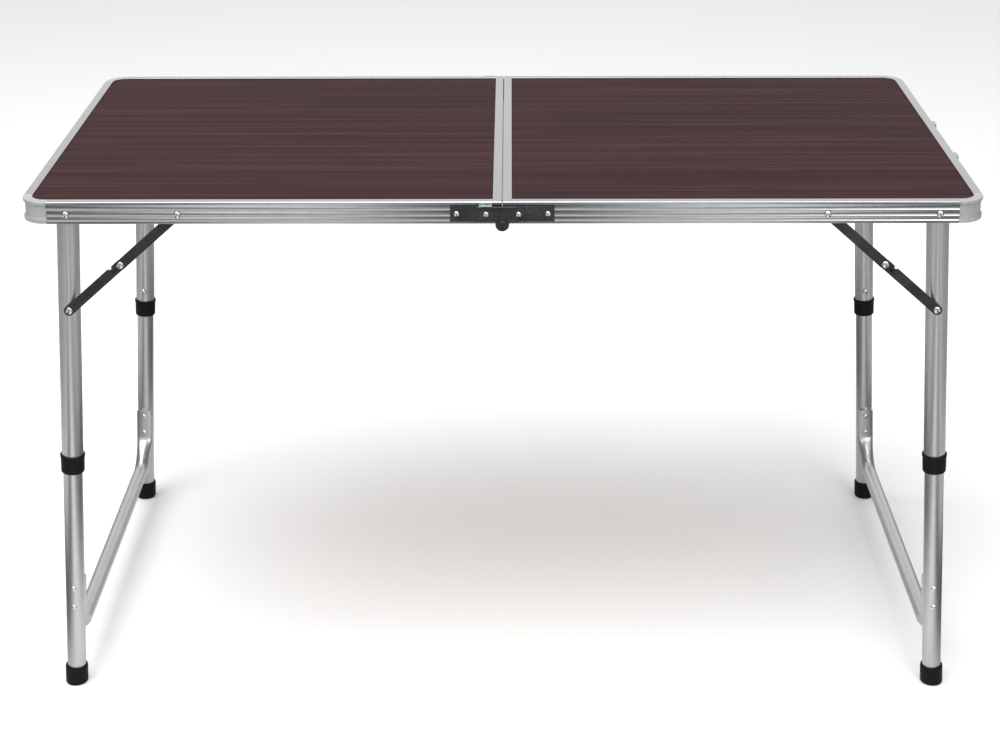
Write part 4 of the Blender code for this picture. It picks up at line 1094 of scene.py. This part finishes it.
def add_surroundings():
    """Pale room, white where it is seen; metal reflects it with darker bands to both sides."""
    world = bpy.data.worlds.new("pale_room")
    world.use_nodes = True
    bpy.context.scene.world = world
    tree = world.node_tree
    where = tree.nodes.new("ShaderNodeTexCoord").outputs["Generated"]
    band = add_node(tree, "ShaderNodeMapRange", {"interpolation_type": "SMOOTHSTEP"},
                    Value=distance_from_middle(tree, where), **SIDE_BANDS).outputs[0]
    seen = tree.nodes.new("ShaderNodeLightPath").outputs["Is Camera Ray"]
    strength = maths(tree, "MAXIMUM", band, seen)
    tree.links.new(strength, tree.nodes["Background"].inputs["Strength"])
    tree.nodes["Background"].inputs["Color"].default_value = (1.0, 1.0, 1.0, 1.0)


def add_soft_light(name, place, aim, size, power):
    data = bpy.data.lights.new(name, "AREA")
    data.shape = "SQUARE"
    data.size = size
    data.energy = power
    light = bpy.data.objects.new(name, data)
    light.location = place
    light.rotation_euler = (Vector(aim) - Vector(place)).to_track_quat("-Z", "Y").to_euler()
    bpy.context.scene.collection.objects.link(light)


def add_camera(scene):
    data = bpy.data.cameras.new("camera")
    data.lens = CAMERA_LENS
    data.shift_y = CAMERA_SHIFT
    camera = bpy.data.objects.new("camera", data)
    turn = Matrix.Rotation(CAMERA_YAW, 4, "Z") @ Matrix.Rotation(pi / 2 - CAMERA_PITCH, 4, "X")
    camera.matrix_world = Matrix.Translation(CAMERA_PLACE) @ turn @ Matrix.Rotation(CAMERA_ROLL, 4, "Z")
    scene.collection.objects.link(camera)
    scene.camera = camera


class TABLE_OT_boards(bpy.types.Operator):
    """Wood finish on the two boards."""

    bl_idname = "table.boards"
    bl_label = "Boards"

    def execute(self, context):
        for label, _ in SIDES:
            board = frame["nodes"][f"{label}_panel"]
            board.data.materials.clear()
            board.data.materials.append(finish_of("wood_board"))
        return {"FINISHED"}


class TABLE_OT_rails(bpy.types.Operator):
    """Fluted edge rails and the two rails beside the fold."""

    bl_idname = "table.rails"
    bl_label = "Edge Rails"

    def execute(self, context):
        for label, side in SIDES:
            for kind, shell, end in (("end", end_rail(), 1), ("centre", centre_rail(), 1),
                                     ("front", side_rail(), -1), ("rear", side_rail(), 1)):
                node = f"{label}_{kind}_rail"
                add_piece(f"{node}_look", [shell], f"{label}_top", "frame_aluminium", (node,), side, end)
        return {"FINISHED"}


class TABLE_OT_corner_caps(bpy.types.Operator):
    """Moulded caps round the four corners."""

    bl_idname = "table.corner_caps"
    bl_label = "Corner Caps"

    def execute(self, context):
        add_at_corners(("corner_cap", [corner_cap()], "{side}_top", "grey_plastic"))
        return {"FINISHED"}


class TABLE_OT_leg_tubes(bpy.types.Operator):
    """Upper and lower tubes of the four legs."""

    bl_idname = "table.leg_tubes"
    bl_label = "Leg Tubes"

    def execute(self, context):
        bottom = -floor_height(LEG_OFFSET) - FOOT_SOLE - GAP
        lower = tube(LOWER_RADIUS, LOWER_WALL, UPPER_LENGTH - TUBE_OVERLAP, bottom)
        add_at_corners(
            ("upper_tube", [on_leg(upper_tube())], "{side}_upper_legs", "tube_aluminium"),
            ("lower_tube", [on_leg(lower)], "{side}_lower_legs", "tube_aluminium"))
        return {"FINISHED"}


class TABLE_OT_leg_mouldings(bpy.types.Operator):
    """Black collars and feet."""

    bl_idname = "table.leg_mouldings"
    bl_label = "Collars and Feet"

    def execute(self, context):
        add_at_corners(
            ("collar", [on_leg(collar())], "{side}_upper_legs", "black_plastic"),
            ("foot", [on_leg(foot())], "{side}_lower_legs", "black_plastic"))
        return {"FINISHED"}


class TABLE_OT_leg_hardware(bpy.types.Operator):
    """Leg pivots, snap buttons and the rivets of the crossbars."""

    bl_idname = "table.leg_hardware"
    bl_label = "Leg Hardware"

    def execute(self, context):
        rivets = [leaning(shell) for shell in bar_rivets()]
        add_at_corners(
            ("leg_pin", [leg_pin()], "{side}_top", "bright_steel"),
            ("snap_button", [leaning(snap_button())], "{side}_{edge}_button", "bright_steel"),
            ("crossbar_rivets", rivets, "{side}_lower_legs", "bright_steel"))
        return {"FINISHED"}


class TABLE_OT_crossbars(bpy.types.Operator):
    """The bar between the two legs at each end."""

    bl_idname = "table.crossbars"
    bl_label = "Crossbars"

    def execute(self, context):
        for label, side in SIDES:
            add_piece(f"{label}_crossbar_look", [leaning(crossbar())], f"{label}_lower_legs",
                      "tube_aluminium", (f"{label}_crossbar",), side)
        return {"FINISHED"}


class TABLE_OT_stays(bpy.types.Operator):
    """Folding stays and their rivets."""

    bl_idname = "table.stays"
    bl_label = "Stays"

    def execute(self, context):
        upper_length, lower_length, slope = stay_lengths()
        upper_y, lower_y = stay_planes()
        upper = sloped(link(upper_length), slope, (STAY_X, upper_y, PIVOT_Z))
        lower = link(lower_length, lower_length - NOTCH_OFFSET, lower_length - DIMPLE_OFFSET)
        lower["points"] = lower["points"] * np.array((1.0, 1.0, -1.0))
        lower = sloped(lower, slope + pi, (ANCHOR_X, lower_y, ANCHOR_Z))
        knuckle = (STAY_X + upper_length * cos(slope), 0.0, PIVOT_Z - upper_length * sin(slope))
        head = HALF_DEPTH + GAP
        rail_rivet = rivet([
            (HEAD_RADIUS, head, head + HEAD_HEIGHT, True), (SHANK_RADIUS, upper_y, head, False)])
        knuckle_rivet = stay_rivet(upper_y, upper_y - STAY_THICKNESS / 2 - THIN_HEAD)
        leg_rivet = stay_rivet(lower_y, LEG_Y + UPPER_RADIUS - UPPER_WALL)
        upper_heads = [along_y(rail_rivet, (STAY_X, 0.0, PIVOT_Z)), along_y(knuckle_rivet, knuckle)]
        lower_heads = [along_y(leg_rivet, (ANCHOR_X, 0.0, ANCHOR_Z))]
        add_at_corners(
            ("upper_stay", [upper], "{side}_upper_stays", "black_steel"),
            ("upper_stay_rivets", upper_heads, "{side}_upper_stays", "bright_steel"),
            ("lower_stay", [lower], "{side}_lower_stays", "black_steel"),
            ("lower_stay_rivets", lower_heads, "{side}_lower_stays", "bright_steel"))
        return {"FINISHED"}


class TABLE_OT_hinges(bpy.types.Operator):
    """Centre hinges on the front and rear edges."""

    bl_idname = "table.hinges"
    bl_label = "Centre Hinges"

    def execute(self, context):
        for edge, end in EDGES:
            for label, side in SIDES:
                node = f"{label}_{edge}_hinge_leaf"
                softened_copy(node, f"{label}_top", "black_steel", SHEET_BEVEL)
                add_piece(f"{label}_{edge}_hinge_rivets", leaf_heads(side), f"{label}_top", "bright_steel",
                          end=end)
            add_piece(f"{edge}_hinge_pin_look", [screw_head()], "left_top", "black_steel",
                      (f"{edge}_hinge_pin",), end=end)
            softened_copy(f"{edge}_hinge_tab", "left_top", "zinc_steel", SHEET_BEVEL)
        return {"FINISHED"}


class TABLE_OT_carry_handle(bpy.types.Operator):
    """Carry handle and its two brackets."""

    bl_idname = "table.carry_handle"
    bl_label = "Carry Handle"

    def execute(self, context):
        add_piece("carry_handle_look", [handle()], "carry_handle", "black_plastic", ("carry_handle",))
        for edge, _ in EDGES:
            softened_copy(f"{edge}_handle_bracket", "right_top", "grey_plastic", BRACKET_BEVEL)
        return {"FINISHED"}


OPERATORS = (
    TABLE_OT_stage, TABLE_OT_boards, TABLE_OT_rails, TABLE_OT_corner_caps, TABLE_OT_leg_tubes,
    TABLE_OT_leg_mouldings, TABLE_OT_leg_hardware, TABLE_OT_crossbars, TABLE_OT_stays, TABLE_OT_hinges,
    TABLE_OT_carry_handle)


class VIEW3D_PT_table(bpy.types.Panel):
    """Sidebar list of the table's operators and looks."""

    bl_label = "Folding Picnic Table"
    bl_space_type = "VIEW_3D"
    bl_region_type = "UI"
    bl_category = "Table"

    def draw(self, context):
        for name in TableLooks.__annotations__:
            self.layout.prop(context.scene.table_looks, name)
        for operator in OPERATORS:
            self.layout.operator(operator.bl_idname)


CLASSES = (TableLooks,) + OPERATORS + (VIEW3D_PT_table,)


def register():
    for made in CLASSES:
        bpy.utils.register_class(made)
    bpy.types.Scene.table_looks = PointerProperty(type=TableLooks)


def unregister():
    del bpy.types.Scene.table_looks
    for made in reversed(CLASSES):
        bpy.utils.unregister_class(made)


def main():
    register()
    for operator in OPERATORS:
        getattr(bpy.ops.table, operator.bl_idname.split(".")[1])()


if __name__ == "__main__":
    main()
